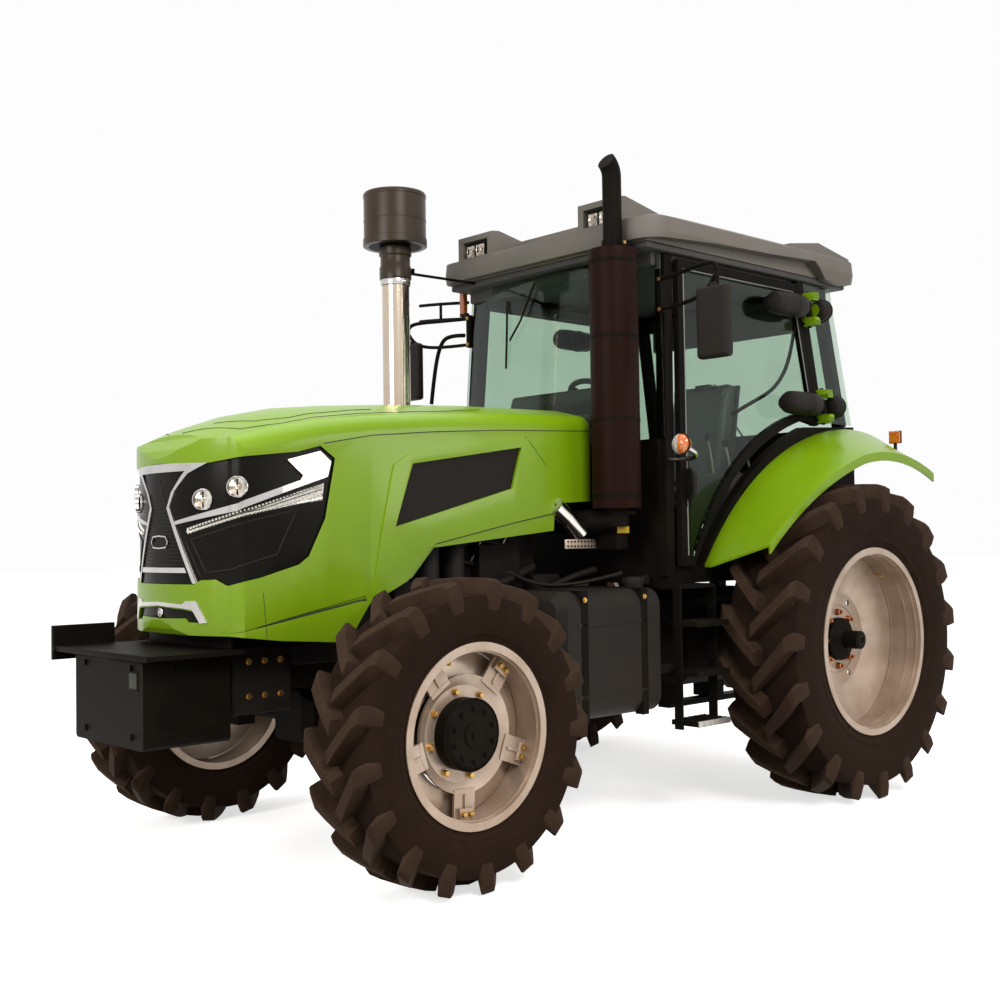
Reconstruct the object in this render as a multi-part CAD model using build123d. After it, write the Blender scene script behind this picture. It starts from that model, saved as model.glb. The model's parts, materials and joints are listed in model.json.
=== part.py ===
from build123d import *
import os
from math import atan2, cos, degrees, pi, sin, sqrt

# A four-wheel-drive farm tractor. Millimetres, +Z up, facing -Y, its left side at +X.
# Inside this file y is measured from the front axle, rearwards; origin_y then centres the part.

# ---- driving dimensions ----
wheelbase = 2760
front_track = 2028          # between tyre centres
rear_track = 2274
front_tyre_radius = 645
rear_tyre_radius = 860
front_tyre_width = 355
rear_tyre_width = 455
front_flange_radius = 381
rear_flange_radius = 508
front_rim_width = 305
rear_rim_width = 395
origin_y = 1377             # from the front axle back to the part's own origin
running_gap = 0.3           # between pieces that turn or slide on each other
bead_depth = 25             # from the rim flange down to the bead seat

front_wheel_x = front_track / 2
rear_wheel_x = rear_track / 2
parts = {}


# ---- small makers ----
def block(x0, x1, y0, y1, z0, z1):
    return Pos((x0 + x1) / 2, (y0 + y1) / 2, (z0 + z1) / 2) * Box(x1 - x0, y1 - y0, z1 - z0)


def both_sides(shape):
    """The shape and its mirror image across the tractor's middle plane."""
    return shape + mirror(shape, Plane.YZ)


def bar(start, end, radius):
    """A round bar from one point to another."""
    span = Vector(*end) - Vector(*start)
    return extrude(Plane(origin=start, z_dir=span) * Circle(radius), span.length)


def beam(start, end, width, depth, across=(0, 1, 0)):
    """A square-cut bar; its width lies along the across direction."""
    span = Vector(*end) - Vector(*start)
    return extrude(Plane(origin=start, x_dir=across, z_dir=span) * Rectangle(width, depth), span.length)


def side_prism(points, x0, x1):
    """A prism from x0 to x1 with a side-view outline of (y, z) points."""
    return Pos(x0, 0, 0) * extrude(Plane.YZ * make_face(Polyline(*points, close=True)), x1 - x0)


def turned(points):
    """A ring about the X axis from (x, radius) points."""
    return revolve(make_face(Polyline(*points, close=True)), Axis.X)


def outboard(shape, left, place):
    """Sets a shape made for the left side (outboard at +X) on the left or the right of the tractor."""
    x, y, z = place
    return Pos(x, y, z) * shape if left else Pos(-x, y, z) * mirror(shape, Plane.YZ)


# ---- wheels: tyre with chevron lugs, rim with disc, hub ----
carcass_flats = 24
lug_taper = 5               # degrees a lug's walls draw in towards the ground


def flat_ring(profile):
    """A solid ring of flats about the X axis, from a closed profile of (x, radius) points."""
    turns = [pi / carcass_flats * (2 * number + 1) for number in range(carcass_flats)]
    faces = []
    for number in range(carcass_flats):
        for (x0, r0), (x1, r1) in zip(profile, profile[1:] + profile[:1]):
            corners = [(x, r * sin(turn), -r * cos(turn))
                       for x, r, turn in ((x0, r0, turns[number - 1]), (x1, r1, turns[number - 1]),
                                          (x1, r1, turns[number]), (x0, r0, turns[number]))]
            faces.append(make_face(Polyline(*corners, close=True)).face())
    return Solid(Shell(faces))


def tyre(radius, width, flange_radius, rim_width, lug_height, lug_count, lug_thickness):
    """A tyre about the X axis: a carcass of flats with the chevron lugs fused to it."""
    half = width / 2
    bead = flange_radius - bead_depth
    base = radius - lug_height
    belly = bead + 0.45 * (base - bead)
    bore = bead / cos(pi / carcass_flats)
    carcass = flat_ring([(-rim_width / 2, bore), (-rim_width / 2, flange_radius + 5), (4 - half, belly),
                         (22 - half, base), (half - 22, base), (half - 4, belly),
                         (rim_width / 2, flange_radius + 5), (rim_width / 2, bore)])
    nose = -0.04 * width
    reach = (half - nose) / 2
    wall = 0.7 * lug_thickness
    top = sqrt(radius ** 2 - (reach + wall) ** 2)
    plan = make_face(Polyline((nose, -reach - wall), (half, reach - 0.7 * wall), (half, reach + wall),
                              (nose, wall - reach), close=True))
    lug = Pos(0, 0, base - lug_height) * extrude(plan, 2 * lug_height, taper=lug_taper)
    profile = Plane.XZ * make_face(Polyline((nose, base - 20), (nose, top), (0.86 * half, top),
                                            (half - 4, base - 50), close=True))
    lug = lug & extrude(profile, width, both=True)
    tip_down = 180 - degrees(atan2(reach + wall, top))
    lugs = []
    for number in range(lug_count):
        turn = tip_down + 360 / lug_count * number
        lugs.append(Rot(turn, 0, 0) * lug)
        lugs.append(Rot(turn + 180 / lug_count, 0, 0) * mirror(lug, Plane.YZ))
    return carcass.fuse(*lugs)


def barrel(flange_radius, rim_width):
    """The rim's barrel with both flanges, open towards its outboard side."""
    half = rim_width / 2
    bead = flange_radius - bead_depth - running_gap
    return turned([(-half - 8, flange_radius), (-half - 8, bead - 8), (half + 8, bead - 8),
                   (half + 8, flange_radius), (half, flange_radius), (half, bead), (-half, bead),
                   (-half, flange_radius)])


# ---- front wheel ----
front_disc_x = 50           # disc face, outboard of the tyre's centre plane
front_disc_radius = 245
front_lobes = 5
front_hub_radius = 150


def front_rim():
    """A dished disc carried from the barrel by five broad lobes."""
    bead = front_flange_radius - bead_depth
    disc = turned([(front_disc_x, front_hub_radius + running_gap), (front_disc_x, 200),
                   (front_disc_x + 22, front_disc_radius), (front_disc_x + 8, front_disc_radius),
                   (front_disc_x - 12, 200), (front_disc_x - 12, front_hub_radius + running_gap)])
    arm = block(front_disc_x + 9, front_disc_x + 21, -56, 56, front_disc_radius - 22, bead - 6)
    for number in range(front_lobes):
        disc += Rot(52 - 90 + 360 / front_lobes * number, 0, 0) * arm
    return barrel(front_flange_radius, front_rim_width) + disc


def front_hub():
    """The planetary hub: a drum through the disc, with its bolting flange behind it."""
    back = front_disc_x - 12
    return turned([(-60, 60), (-60, 200), (back, 200), (back, front_hub_radius),
                   (front_disc_x + 55, front_hub_radius), (front_disc_x + 75, 128),
                   (front_disc_x + 75, 0), (-20, 0), (-20, 60)])


# ---- rear wheel ----
rear_disc_x = -40           # disc face, set deep inboard
rear_hub_radius = 118


def rear_rim():
    """A deep dish from the barrel down to the hub, with six round holes."""
    bead = rear_flange_radius - bead_depth
    disc = turned([(rear_disc_x, rear_hub_radius + running_gap), (rear_disc_x, 260),
                   (rear_disc_x + 60, bead - 4), (rear_disc_x + 44, bead - 4), (rear_disc_x - 14, 265),
                   (rear_disc_x - 14, rear_hub_radius + running_gap)])
    hole = Pos(rear_disc_x, 0, 225) * Rot(0, 90, 0) * Cylinder(16, 90)
    for number in range(6):
        disc -= Rot(30 + 60 * number, 0, 0) * hole
    return barrel(rear_flange_radius, rear_rim_width) + disc


def rear_hub():
    """The axle flange behind the disc and the hub and shaft end ahead of it."""
    back = rear_disc_x - 14
    return turned([(back - 40, 0), (back - 40, 185), (back, 185), (back, rear_hub_radius),
                   (rear_disc_x + 30, rear_hub_radius), (rear_disc_x + 60, 50),
                   (rear_disc_x + 150, 50), (rear_disc_x + 150, 0)])


wheel_makers = {
    "front": (tyre(front_tyre_radius, front_tyre_width, front_flange_radius, front_rim_width, 62, 17, 46),
              front_rim(), front_hub(), front_wheel_x, 0, front_tyre_radius),
    "rear": (tyre(rear_tyre_radius, rear_tyre_width, rear_flange_radius, rear_rim_width, 74, 19, 56),
             rear_rim(), rear_hub(), rear_wheel_x, wheelbase, rear_tyre_radius)}
for end, (rubber, rim, hub, x, y, z) in wheel_makers.items():
    for side in ("left", "right"):
        for piece, shape in (("tyre", rubber), ("rim", rim), ("hub", hub)):
            parts[f"{end}_{side}_{piece}"] = outboard(shape, side == "left", (x, y, z))

# ---- front axle, knuckles ----
kingpin_x = 775
kingpin_radius = 26
yoke_gap = 190              # clear height between the axle's yoke ears
axle_z = front_tyre_radius
knuckle_height = yoke_gap - 2 * running_gap - 4


def front_axle():
    tube = block(0, 640, -62, 62, axle_z - 62, axle_z + 62)
    tube = chamfer(tube.edges().filter_by(Axis.X), 24)
    end = block(610, 690, -50, 50, axle_z - yoke_gap / 2 - 30, axle_z + yoke_gap / 2 + 30)
    ear = block(690, kingpin_x, -55, 55, yoke_gap / 2, yoke_gap / 2 + 30)
    ear += Pos(kingpin_x, 0, yoke_gap / 2 + 15) * Cylinder(55, 30)
    ears = Pos(0, 0, axle_z) * (ear + mirror(ear, Plane.XY))
    half = tube + end + ears
    half -= Pos(kingpin_x, 0, axle_z) * Cylinder(kingpin_radius + running_gap, 400)
    centre = block(-150, 150, -150, 150, axle_z - 125, axle_z + 110)
    centre = chamfer(centre.edges().filter_by(Axis.Y), 55)
    centre = chamfer(centre.edges().filter_by(Axis.Z), 40)
    pinion = block(-55, 55, 0, 260, axle_z - 55, axle_z + 55)
    pinion = chamfer(pinion.edges().filter_by(Axis.Y), 22)
    saddle = block(-90, 90, -120, 120, axle_z + 60, axle_z + 130)
    return both_sides(half) + centre + pinion + saddle


def knuckle(left):
    pin = Pos(kingpin_x, 0, 0) * Cylinder(kingpin_radius, yoke_gap + 60)
    body = Pos(kingpin_x, 0, 0) * Cylinder(58, knuckle_height)
    neck = bar((kingpin_x, 0, 0), (front_wheel_x - 60 - 10, 0, 0), 88)
    spindle = bar((front_wheel_x - 80, 0, 0), (front_wheel_x - 20 - running_gap, 0, 0), 60 - running_gap)
    arm = block(kingpin_x - 25, kingpin_x + 25, 40, 215, -70, -40) + Pos(kingpin_x, 215, -55) * Cylinder(30, 30)
    return outboard(pin + body + neck + spindle + arm, left, (0, 0, axle_z))


parts["front_axle"] = front_axle()
parts["left_knuckle"] = knuckle(True)
parts["right_knuckle"] = knuckle(False)

# ---- chassis ----
rail_x = 235
rail_z0, rail_z1 = 790, 960
engine_y0, engine_y1 = -150, 1180


def front_frame():
    rails = both_sides(block(rail_x - 30, rail_x, -600, 1180, rail_z0, rail_z1))
    casting = block(30 - rail_x, rail_x - 30, -600, -300, rail_z0 - 20, rail_z1)
    cross = block(30 - rail_x, rail_x - 30, 160, 240, rail_z0 - 10, rail_z0 + 60)
    bracket = block(-150, 150, -110, 110, axle_z + 130, rail_z0 + 40)
    bridge = block(30 - rail_x, rail_x - 30, -110, 110, rail_z0, rail_z0 + 60)
    return rails + casting + cross + bracket + bridge


parts["front_frame"] = front_frame()
parts["engine"] = (block(30 - rail_x, rail_x - 30, engine_y0, engine_y1, 860, 1000)
                   + block(-290, 290, engine_y0, engine_y1, 1000, 1640))

gearbox_y1 = 2480
transmission_x = 240


def transmission():
    case = block(-transmission_x, transmission_x, engine_y1, gearbox_y1, 640, 1130)
    case = chamfer(case.edges().filter_by(Axis.Y), 60)
    rear = block(-transmission_x - 20, transmission_x + 20, gearbox_y1, 3060, 560, 1130)
    rear = chamfer(rear.edges().filter_by(Axis.Y), 60)
    shaft = bar((0, 3060, pto_z), (0, 3060 + pto_length, pto_z), pto_radius)
    guard = block(-110, 110, 3060, 3180, pto_z + 80, pto_z + 90)
    return case + rear + shaft + guard


pto_z = 720
pto_radius = 17.5
pto_length = 90
parts["transmission"] = transmission()

trumpet_end_x = rear_wheel_x + rear_disc_x - 14 - 40 - running_gap


def rear_axle():
    tube = turned([(transmission_x + 20, 0), (transmission_x + 20, 190), (transmission_x + 60, 150),
                   (trumpet_end_x - 60, 115), (trumpet_end_x - 60, 140), (trumpet_end_x, 140),
                   (trumpet_end_x, 0)])
    return both_sides(Pos(0, wheelbase, rear_tyre_radius) * tube)


parts["rear_axle"] = rear_axle()

# ---- ballast and its bracket, ahead of the front frame ----
ballast_y0, ballast_y1 = -1040, -640


def front_ballast():
    box = block(-310, 310, ballast_y0, ballast_y1, 610, 980)
    box = chamfer(box.edges().filter_by(Axis.Y), 12)
    box -= block(200, 262, ballast_y0 - 1, ballast_y0 + 60, 860, 922)
    deck = block(-420, 420, -1080, ballast_y1, 980, 1000)
    lip = block(-450, -430, -1090, -800, 940, 1090) + block(-450, -420, -1090, -800, 980, 1000)
    neck = block(30 - rail_x, rail_x - 30, ballast_y1, -600, 700, 940)
    return box + deck + lip + neck


parts["front_ballast"] = front_ballast()

# ---- tank and battery box ----
tank_y0, tank_y1 = 775, 1520
tank_x0, tank_x1 = 400, 890


def fuel_tank():
    body = block(tank_x0, tank_x1, tank_y0, tank_y1, 570, 1190)
    body = fillet(body.edges().filter_by(Axis.Y).group_by(Axis.X)[-1], 90)
    body = chamfer(body.edges().filter_by(Axis.Z).group_by(Axis.X)[-1], 40)
    cap = Pos(760, tank_y1 - 90, 1190 + 20) * Cylinder(48, 40)
    front_shelf = block(rail_x, tank_x0, tank_y0 + 60, tank_y0 + 140, 800, 860)
    rear_shelf = block(transmission_x, tank_x0, tank_y1 - 220, tank_y1 - 140, 800, 860)
    return body + cap + front_shelf + rear_shelf


def battery_box():
    body = block(-870, -400, tank_y0, tank_y1, 600, 1120)
    body = chamfer(body.edges().filter_by(Axis.Y).group_by(Axis.X)[0], 40)
    lid = block(-880, -395, tank_y0 - 8, tank_y1 + 8, 1120, 1150)
    front_shelf = block(-tank_x0, -rail_x, tank_y0 + 60, tank_y0 + 140, 800, 860)
    rear_shelf = block(-tank_x0, -transmission_x, tank_y1 - 220, tank_y1 - 140, 800, 860)
    return body + lid + front_shelf + rear_shelf


parts["fuel_tank"] = fuel_tank()
parts["battery_box"] = battery_box()

# ---- cab ----
cab_half = 850              # outer half width at the sill
cab_y0 = 1650
floor_z = 1200
sill_z = 1290
roof_z = 2985
lean = 2.4                  # degrees the cab's sides lean inwards
steps_y0, steps_y1 = 1570, 1860


def steps():
    left = Part()
    for y in (steps_y0, steps_y1 - 12):
        left += block(900, 950, y, y + 12, 470, floor_z)
    for z in (490, 740, 990):
        left += block(870, 1040, steps_y0 + 12, steps_y1 - 12, z, z + 25)
    left += block(700, 950, steps_y0, steps_y1, floor_z - 20, floor_z)
    return both_sides(left)


parts["steps"] = steps()


# ---- fenders ----
fender_inner_x = 855
cheek_x = 812               # outer face of the cab's inner arch, where the fender is bolted
fender_outer_x = 1250
fender_skin = 12
fender_lip = 50


def strip(points, depth):
    """A strip in the YZ plane below two arcs through five (y, z) points."""
    low = [(y, z - depth) for y, z in points]
    edges = [ThreePointArc(*points[0:3]), ThreePointArc(*points[2:5]), Line(points[4], low[4]),
             ThreePointArc(low[4], low[3], low[2]), ThreePointArc(low[2], low[1], low[0]), Line(low[0], points[0])]
    return make_face(Wire(edges))


def at_x(x, face):
    return Pos(x, 0, 0) * (Plane.YZ * face)


def fenders():
    inner = [(1950, 1290), (2330, 1700), (2954, 2019), (3250, 2075), (3640, 2040)]
    outer = [(1930, 1400), (2300, 1660), (2836, 1883), (3200, 1905), (3600, 1800)]
    skin = loft([at_x(fender_inner_x, strip(inner, fender_skin)),
                 at_x(fender_outer_x, strip(outer, fender_skin))], ruled=True)
    lip = extrude(at_x(fender_outer_x - fender_skin, strip(outer, fender_lip)), fender_skin)
    root = extrude(at_x(cheek_x, strip(inner, fender_skin)), fender_inner_x - cheek_x)
    return both_sides(skin.fuse(lip, root))


parts["fenders"] = fenders()

# ---- doors ----
door_front = [(1715, sill_z), (1805, 2925)]                   # (y, z) of the front edge
door_rear = [(3045, 2090), (2905, 2925)]                      # the hinge edge leans forward
door_low = [(1822, sill_z), (2160, 1722), (2890, 2115)]       # arc that follows the fender
door_thickness = 34
door_member = 50
hinge_offset = 24           # the hinge line lies behind the door's rear edge
hinge_x = cab_half + 10


def door_outline(inset):
    (fy0, fz0), (fy1, fz1) = door_front
    (ly0, lz0), (ly1, lz1), (ly2, lz2) = door_low
    (ry0, rz0), (ry1, rz1) = door_rear
    n = inset
    a, b = (fy0 + n, fz0 + n), (ly0 + 0.2 * n, lz0 + n)
    mid, c = (ly1 - 0.55 * n, lz1 + 0.8 * n), (ly2, lz2 + n)
    d, e, f = (ry0 - n, rz0 + n), (ry1 - n, rz1 - n), (fy1 + n, fz1 - n)
    return make_face(Wire([Line(a, b), ThreePointArc(b, mid, c), Line(c, d), Line(d, e), Line(e, f), Line(f, a)]))


def lean_in(shape):
    """Tips a left-side piece inwards about the sill line."""
    return Pos(cab_half, 0, sill_z) * Rot(0, -lean, 0) * Pos(-cab_half, 0, -sill_z) * shape


def hinge_point(z):
    (y0, z0), (y1, z1) = door_rear
    return y0 + (y1 - y0) * (z - z0) / (z1 - z0) + hinge_offset


hinge_levels = (2200, 2770)
hinge_pin_radius = 9


def hinge_bar(z, radius, half_length):
    """A round bar along the slanting hinge line, centred at a hinge's level."""
    rise = door_rear[1][1] - door_rear[0][1]
    share = half_length / sqrt(rise ** 2 + (door_rear[1][0] - door_rear[0][0]) ** 2)
    dz = rise * share
    low, high = [(hinge_x + 32, hinge_point(level), level) for level in (z - dz, z + dz)]
    return bar(low, high, radius)


def door_frame():
    leaf = extrude(at_x(cab_half - door_thickness, door_outline(0) - door_outline(door_member)), door_thickness)
    handle = block(cab_half, cab_half + 30, 1775, 1800, 1640, 1800)
    leaf = leaf + handle
    for z in hinge_levels:
        y = hinge_point(z)
        leaf += block(cab_half, cab_half + 14, y - 250, y - 60, z - 30, z + 30)
        leaf += bar((hinge_x + 32, y - 400, z), (hinge_x + 32, y - 40, z), 40)
        leaf += block(hinge_x + 22, hinge_x + 42, y - 60, y, z - 30, z + 30)
        leaf += hinge_bar(z, 18, 43)
        leaf -= hinge_bar(z, hinge_pin_radius + running_gap, 60)
    return lean_in(leaf)


def door_glass():
    return lean_in(extrude(at_x(cab_half - 20, door_outline(door_member)), 6))


parts["left_door"] = door_frame()
parts["right_door"] = mirror(door_frame(), Plane.YZ)
parts["left_door_glass"] = door_glass()
parts["right_door_glass"] = mirror(door_glass(), Plane.YZ)

# ---- cab structure ----
bonnet_hinge_y, bonnet_hinge_z = 1370, 2020
bonnet_pin_radius = 10
pillar = 62
a_foot, a_head = (785, 1668, floor_z + 40), (720, 1762, roof_z)
b_foot, b_head = (775, 3092, 2100), (738, 2948, roof_z)
c_foot, c_head = (735, 3402, 2100), (700, 3230, roof_z)


def cab_base():
    floor = block(-cheek_x, cheek_x, cab_y0, 3400, floor_z, floor_z + 40)
    sills = both_sides(block(760, cheek_x, cab_y0 + 60, 3400, floor_z + 40, sill_z - 6))
    arch = [(1925, floor_z + 40), (1925, sill_z - 6), (2300, 1728), (2900, 2074),
            (3440, 2100), (3440, floor_z + 40)]
    cheek_face = make_face(Wire([Line(arch[0], arch[1]), ThreePointArc(arch[1], arch[2], arch[3]),
                                 Line(arch[3], arch[4]), Line(arch[4], arch[5]), Line(arch[5], arch[0])]))
    cheeks = both_sides(extrude(at_x(760, cheek_face), cheek_x - 760))
    back = block(-760, 760, 3400, 3440, floor_z, 2100)
    front = block(-760, 760, cab_y0, cab_y0 + 40, floor_z + 40, 1960)
    cowl = block(-400, 400, 1420, cab_y0, 1560, 1940)
    seat_box = block(-230, 230, 2420, 2860, floor_z + 40, 1620)
    feet = block(100, 170, 1800, 1880, 1130, floor_z) + block(100, 170, 2900, 2980, 1130, floor_z)
    arm = side_prism([(1350, 2002), (1350, 2038), (1385, 2040), (1470, 1940), (1420, 1900)], 280, 300)
    arm += bar((300, bonnet_hinge_y, bonnet_hinge_z), (340, bonnet_hinge_y, bonnet_hinge_z), bonnet_pin_radius)
    return floor + sills + cheeks + back + front + cowl + seat_box + both_sides(feet) + both_sides(arm)


def cab_frame():
    frame = Part()
    for foot, head in ((a_foot, a_head), (b_foot, b_head), (c_foot, c_head)):
        frame += beam(foot, head, pillar, pillar)
    frame += beam((690, 1730, roof_z - 30), (690, 3250, roof_z - 30), 60, 60, across=(1, 0, 0))
    frame += block(0, 720, 1730, 1790, roof_z - 60, roof_z) + block(0, 700, 3200, 3262, roof_z - 60, roof_z)
    frame &= block(-900, 900, 1500, 3600, floor_z + 40, roof_z)
    return both_sides(frame) - parts["cab_base"]


parts["cab_base"] = cab_base()
parts["cab_frame"] = cab_frame()

windshield_bulge = 90
glass = 6


def windshield():
    y0 = 1622
    outer = ThreePointArc((-800, y0), (0, y0 - windshield_bulge), (800, y0))
    inner = ThreePointArc((800, y0 + glass), (0, y0 - windshield_bulge + glass), (-800, y0 + glass))
    ends = [Line((800, y0), (800, y0 + glass)), Line((-800, y0 + glass), (-800, y0))]
    plan = make_face(Wire([outer, ends[0], inner, ends[1]]))
    slope = (a_head[1] - a_foot[1]) / (a_head[2] - a_foot[2])
    low, high = 1960, 2960
    start = Pos(0, (low - a_foot[2]) * slope, low)
    pane = extrude(start * plan, dir=(0, slope, 1), amount=(high - low) * sqrt(1 + slope ** 2))
    trim = Plane.XZ * make_face(Polyline((-792, low), (792, low), (742, high), (-742, high), close=True))
    return pane & extrude(trim, 4000, both=True)


def rear_glass():
    side = make_face(Polyline((3122.1, 2112), (3436, 2112), (3272, 2960), (2985.1, 2960), close=True))
    side = lean_in(extrude(at_x(cab_half - 21, side), glass))
    back = Pos(0, 3433.2, 2104) * Rot(11, 0, 0) * block(-690, 690, 0, glass, 0, 870)
    return both_sides(side) + back


parts["windshield"] = windshield()
parts["rear_glass"] = rear_glass()

roof_rows = [(2940, 830, 1520, 3490, 110), (3035, 855, 1500, 3510, 150),
             (3110, 850, 1505, 3505, 150), (3200, 640, 1620, 3340, 110)]      # z, half width, y0, y1, corner
roof_side = [(1500, 2992), (2050, 3025), (2600, 3042), (3000, 3063), (3125, 2972), (3320, 2962),
             (3520, 2995), (3520, 3095), (3330, 3172), (2450, 3192), (1900, 3168), (1490, 3105)]      # y, z
lamp_bay = (385, 600, 3110, 3205)       # x0, x1, z0, z1 of the recess in each front pod


def roof():
    shells = [Pos(0, (y0 + y1) / 2, z) * RectangleRounded(2 * half, y1 - y0, corner)
              for z, half, y0, y1, corner in roof_rows]
    body = loft(shells, ruled=True) & side_prism(roof_side, -900, 900)
    body -= block(-790, 790, 1560, 3430, 2900, roof_z)
    body += block(-785, 785, 1560, 3425, roof_z, 3080)
    x0, x1, z0, z1 = lamp_bay
    pod = side_prism([(1502, 3050), (1502, 3238), (1560, 3245), (2000, 3160), (2000, 3050)], x0 - 40, x1 + 40)
    rear_pod = side_prism([(3500, 3050), (3480, 3150), (3150, 3205), (2850, 3160), (2850, 3050)], 520, 780)
    brow = side_prism([(1700, 3060), (1700, 3195), (1760, 3206), (2050, 3200), (2050, 3060)], -300, 300)
    hatch = block(-330, 330, 2050, 2750, 3150, 3216)
    body = body + both_sides(pod) + both_sides(rear_pod) + brow + hatch
    return body - both_sides(block(x0, x1, 1480, 1570, z0, z1))


parts["roof"] = roof()
parts["roof_lamps"] = both_sides(block(420, 565, 1515, 1570, 3112, 3178))

# ---- inside the cab ----
parts["seat"] = (fillet(block(-250, 250, 2440, 2900, 1620, 1740).edges().filter_by(Axis.Z), 60)
                 + Pos(0, 2900, 1700) * Rot(-10, 0, 0) * block(-240, 240, -60, 60, 0, 720))


column_tilt = 35
wheel_y, wheel_z = 2040, 2240


def tilted(shape):
    """Sets a shape made about the Z axis on the steering column."""
    return Pos(0, wheel_y, wheel_z) * Rot(-column_tilt, 0, 0) * shape


def dashboard():
    outline = [(cab_y0 + 40, floor_z + 40), (1900, floor_z + 40), (1850, 1700), (1960, 2150),
               (1860, 2260), (cab_y0 + 60, 2200), (cab_y0 + 40, 1900)]
    return side_prism(outline, -230, 230) + tilted(Pos(0, 0, -110) * Cylinder(28, 148))


def steering_wheel():
    rim = Rot(0, 90, 0) * turned([(-12, 187), (0, 180), (12, 187), (12, 201), (0, 208), (-12, 201)])
    boss = Pos(0, 0, -15) * Cylinder(40, 40)
    for turn in (0, 120, 240):
        boss += Rot(0, 0, turn) * block(0, 190, -14, 14, -20, -8)
    return tilted(rim + boss)


parts["dashboard"] = dashboard()
parts["steering_wheel"] = steering_wheel()

# ---- exhaust and air cleaner ----
muffler_x, muffler_y = 650, 1440
muffler_radius = 122


def exhaust():
    guard = Pos(muffler_x, muffler_y, (1600 + 2930) / 2) * Cylinder(muffler_radius, 2930 - 1600)
    stack = bar((muffler_x, muffler_y, 2930), (muffler_x, muffler_y, 3320), 50)
    mouth = Pos(muffler_x, muffler_y, 3320) * Circle(50)
    stack += revolve(mouth, Axis((muffler_x, muffler_y - 95, 3320), (1, 0, 0)), 55)
    inlet = bar((muffler_x, muffler_y, 1600), (muffler_x, muffler_y, 1500), 60)
    shelf = block(400, muffler_x + 60, 1430, 1520, 1560, 1580)
    inlet += bar((290, muffler_y - 130, 1530), (muffler_x, muffler_y, 1530), 62)
    return guard + stack + inlet + shelf


cleaner_x, cleaner_y = -600, 990
elbow_z = 1370


def air_cleaner():
    can = Pos(cleaner_x, cleaner_y, 3260) * Cylinder(175, 300)
    neck = Pos(cleaner_x, cleaner_y, 3010) * Cylinder(82, 200)
    tube = bar((cleaner_x, cleaner_y, elbow_z - 80), (cleaner_x, cleaner_y, 2910), 74)
    elbow = bar((cleaner_x, cleaner_y, elbow_z), (-290, cleaner_y, elbow_z), 70)
    stay = bar((cleaner_x, cleaner_y + 20, 2972), (-560, 1729, 2972), 8)
    return can + neck + tube + elbow + stay


parts["exhaust"] = exhaust()
parts["air_cleaner"] = air_cleaner()

# ---- bonnet ----
hood_rows = [                           # y, half width, crease z, crown z
    (-900, 438, 1794, 1835),
    (-809, 446, 1809, 1882),
    (-670, 460, 1827, 1952),
    (-480, 480, 1849, 2018),
    (-264, 492, 1888, 2064),
    (-20, 497, 1922, 2090),
    (321, 500, 1953, 2115),
    (766, 500, 1982, 2138),
    (1400, 500, 2006, 2150)]
nose_plan = [(0, -805), (256, -764), (400, -700), (468, -650), (490, -580)]       # x, y
nose_side = [(-768, 1045), (-796, 1080), (-805, 1110), (-805, 1816), (-790, 1850), (-740, 1900)]     # y, z
hood_low = [(-1000, 1060), (-700, 1057), (-500, 1030), (-160, 1002), (-40, 1166), (200, 1275), (330, 1410),
            (1125, 1484), (1135, 1622), (1500, 1642)]                             # y, z
hood_wall = 24


def hood_solid(inset):
    """The bonnet's closed outer form, drawn in by the inset."""
    sections = []
    for y, half, crease, crown in hood_rows:
        w, s, c = half - inset, crease - inset / 2, crown - inset
        rise = 0.6 * (crown - crease)
        edges = [Line((-w, 900), (w, 900)), Line((w, 900), (w, s)),
                 ThreePointArc((w, s), (w - 26, s + 0.71 * rise), (w - 90, s + rise)),
                 ThreePointArc((w - 90, s + rise), (0, c), (90 - w, s + rise)),
                 ThreePointArc((90 - w, s + rise), (26 - w, s + 0.71 * rise), (-w, s)),
                 Line((-w, s), (-w, 900))]
        plane = Plane(origin=(0, y, 0), x_dir=(1, 0, 0), z_dir=(0, -1, 0))
        sections.append(plane * make_face(Wire(edges)))
    body = loft(sections, ruled=True)
    (x0, y0), (x1, y1), (x2, y2), (x3, y3), (x4, y4) = [(x, y + inset) for x, y in nose_plan]
    x2, x3, x4 = x2 - inset, x3 - inset, x4 - inset
    front = [ThreePointArc((0, y0), (x1, y1), (x2, y2)), ThreePointArc((x2, y2), (x3, y3), (x4, y4))]
    back = [Line((x4, y4), (600, 1500)), Line((600, 1500), (0, 1500)), Line((0, 1500), (0, y0))]
    half_plan = make_face(Wire(front + back))
    side = [(y + inset, z) for y, z in nose_side] + [(-600, 2400), (1500, 2400), (1500, 900), (inset - 768, 900)]
    return body & both_sides(extrude(half_plan, 3000)) & side_prism(side, -600, 600)


def nose_cut(points):
    """Prisms through both front corners along the plan's diagonal, from (u, z) points; u runs along (1, 1)."""
    corner = Plane(origin=(0, 0, 0), x_dir=(1, 1, 0), z_dir=(1, -1, 0))
    left = extrude(corner * make_face(Polyline(*points, close=True)), 1500) & block(0, 700, -1000, 0, 1000, 2000)
    return both_sides(left)


def front_cut(points):
    """A prism through the nose from a left half outline of (x, z) points."""
    return both_sides(Pos(0, -500, 0) * extrude(Plane.XZ * make_face(Polyline(*points, close=True)), 500))


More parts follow.
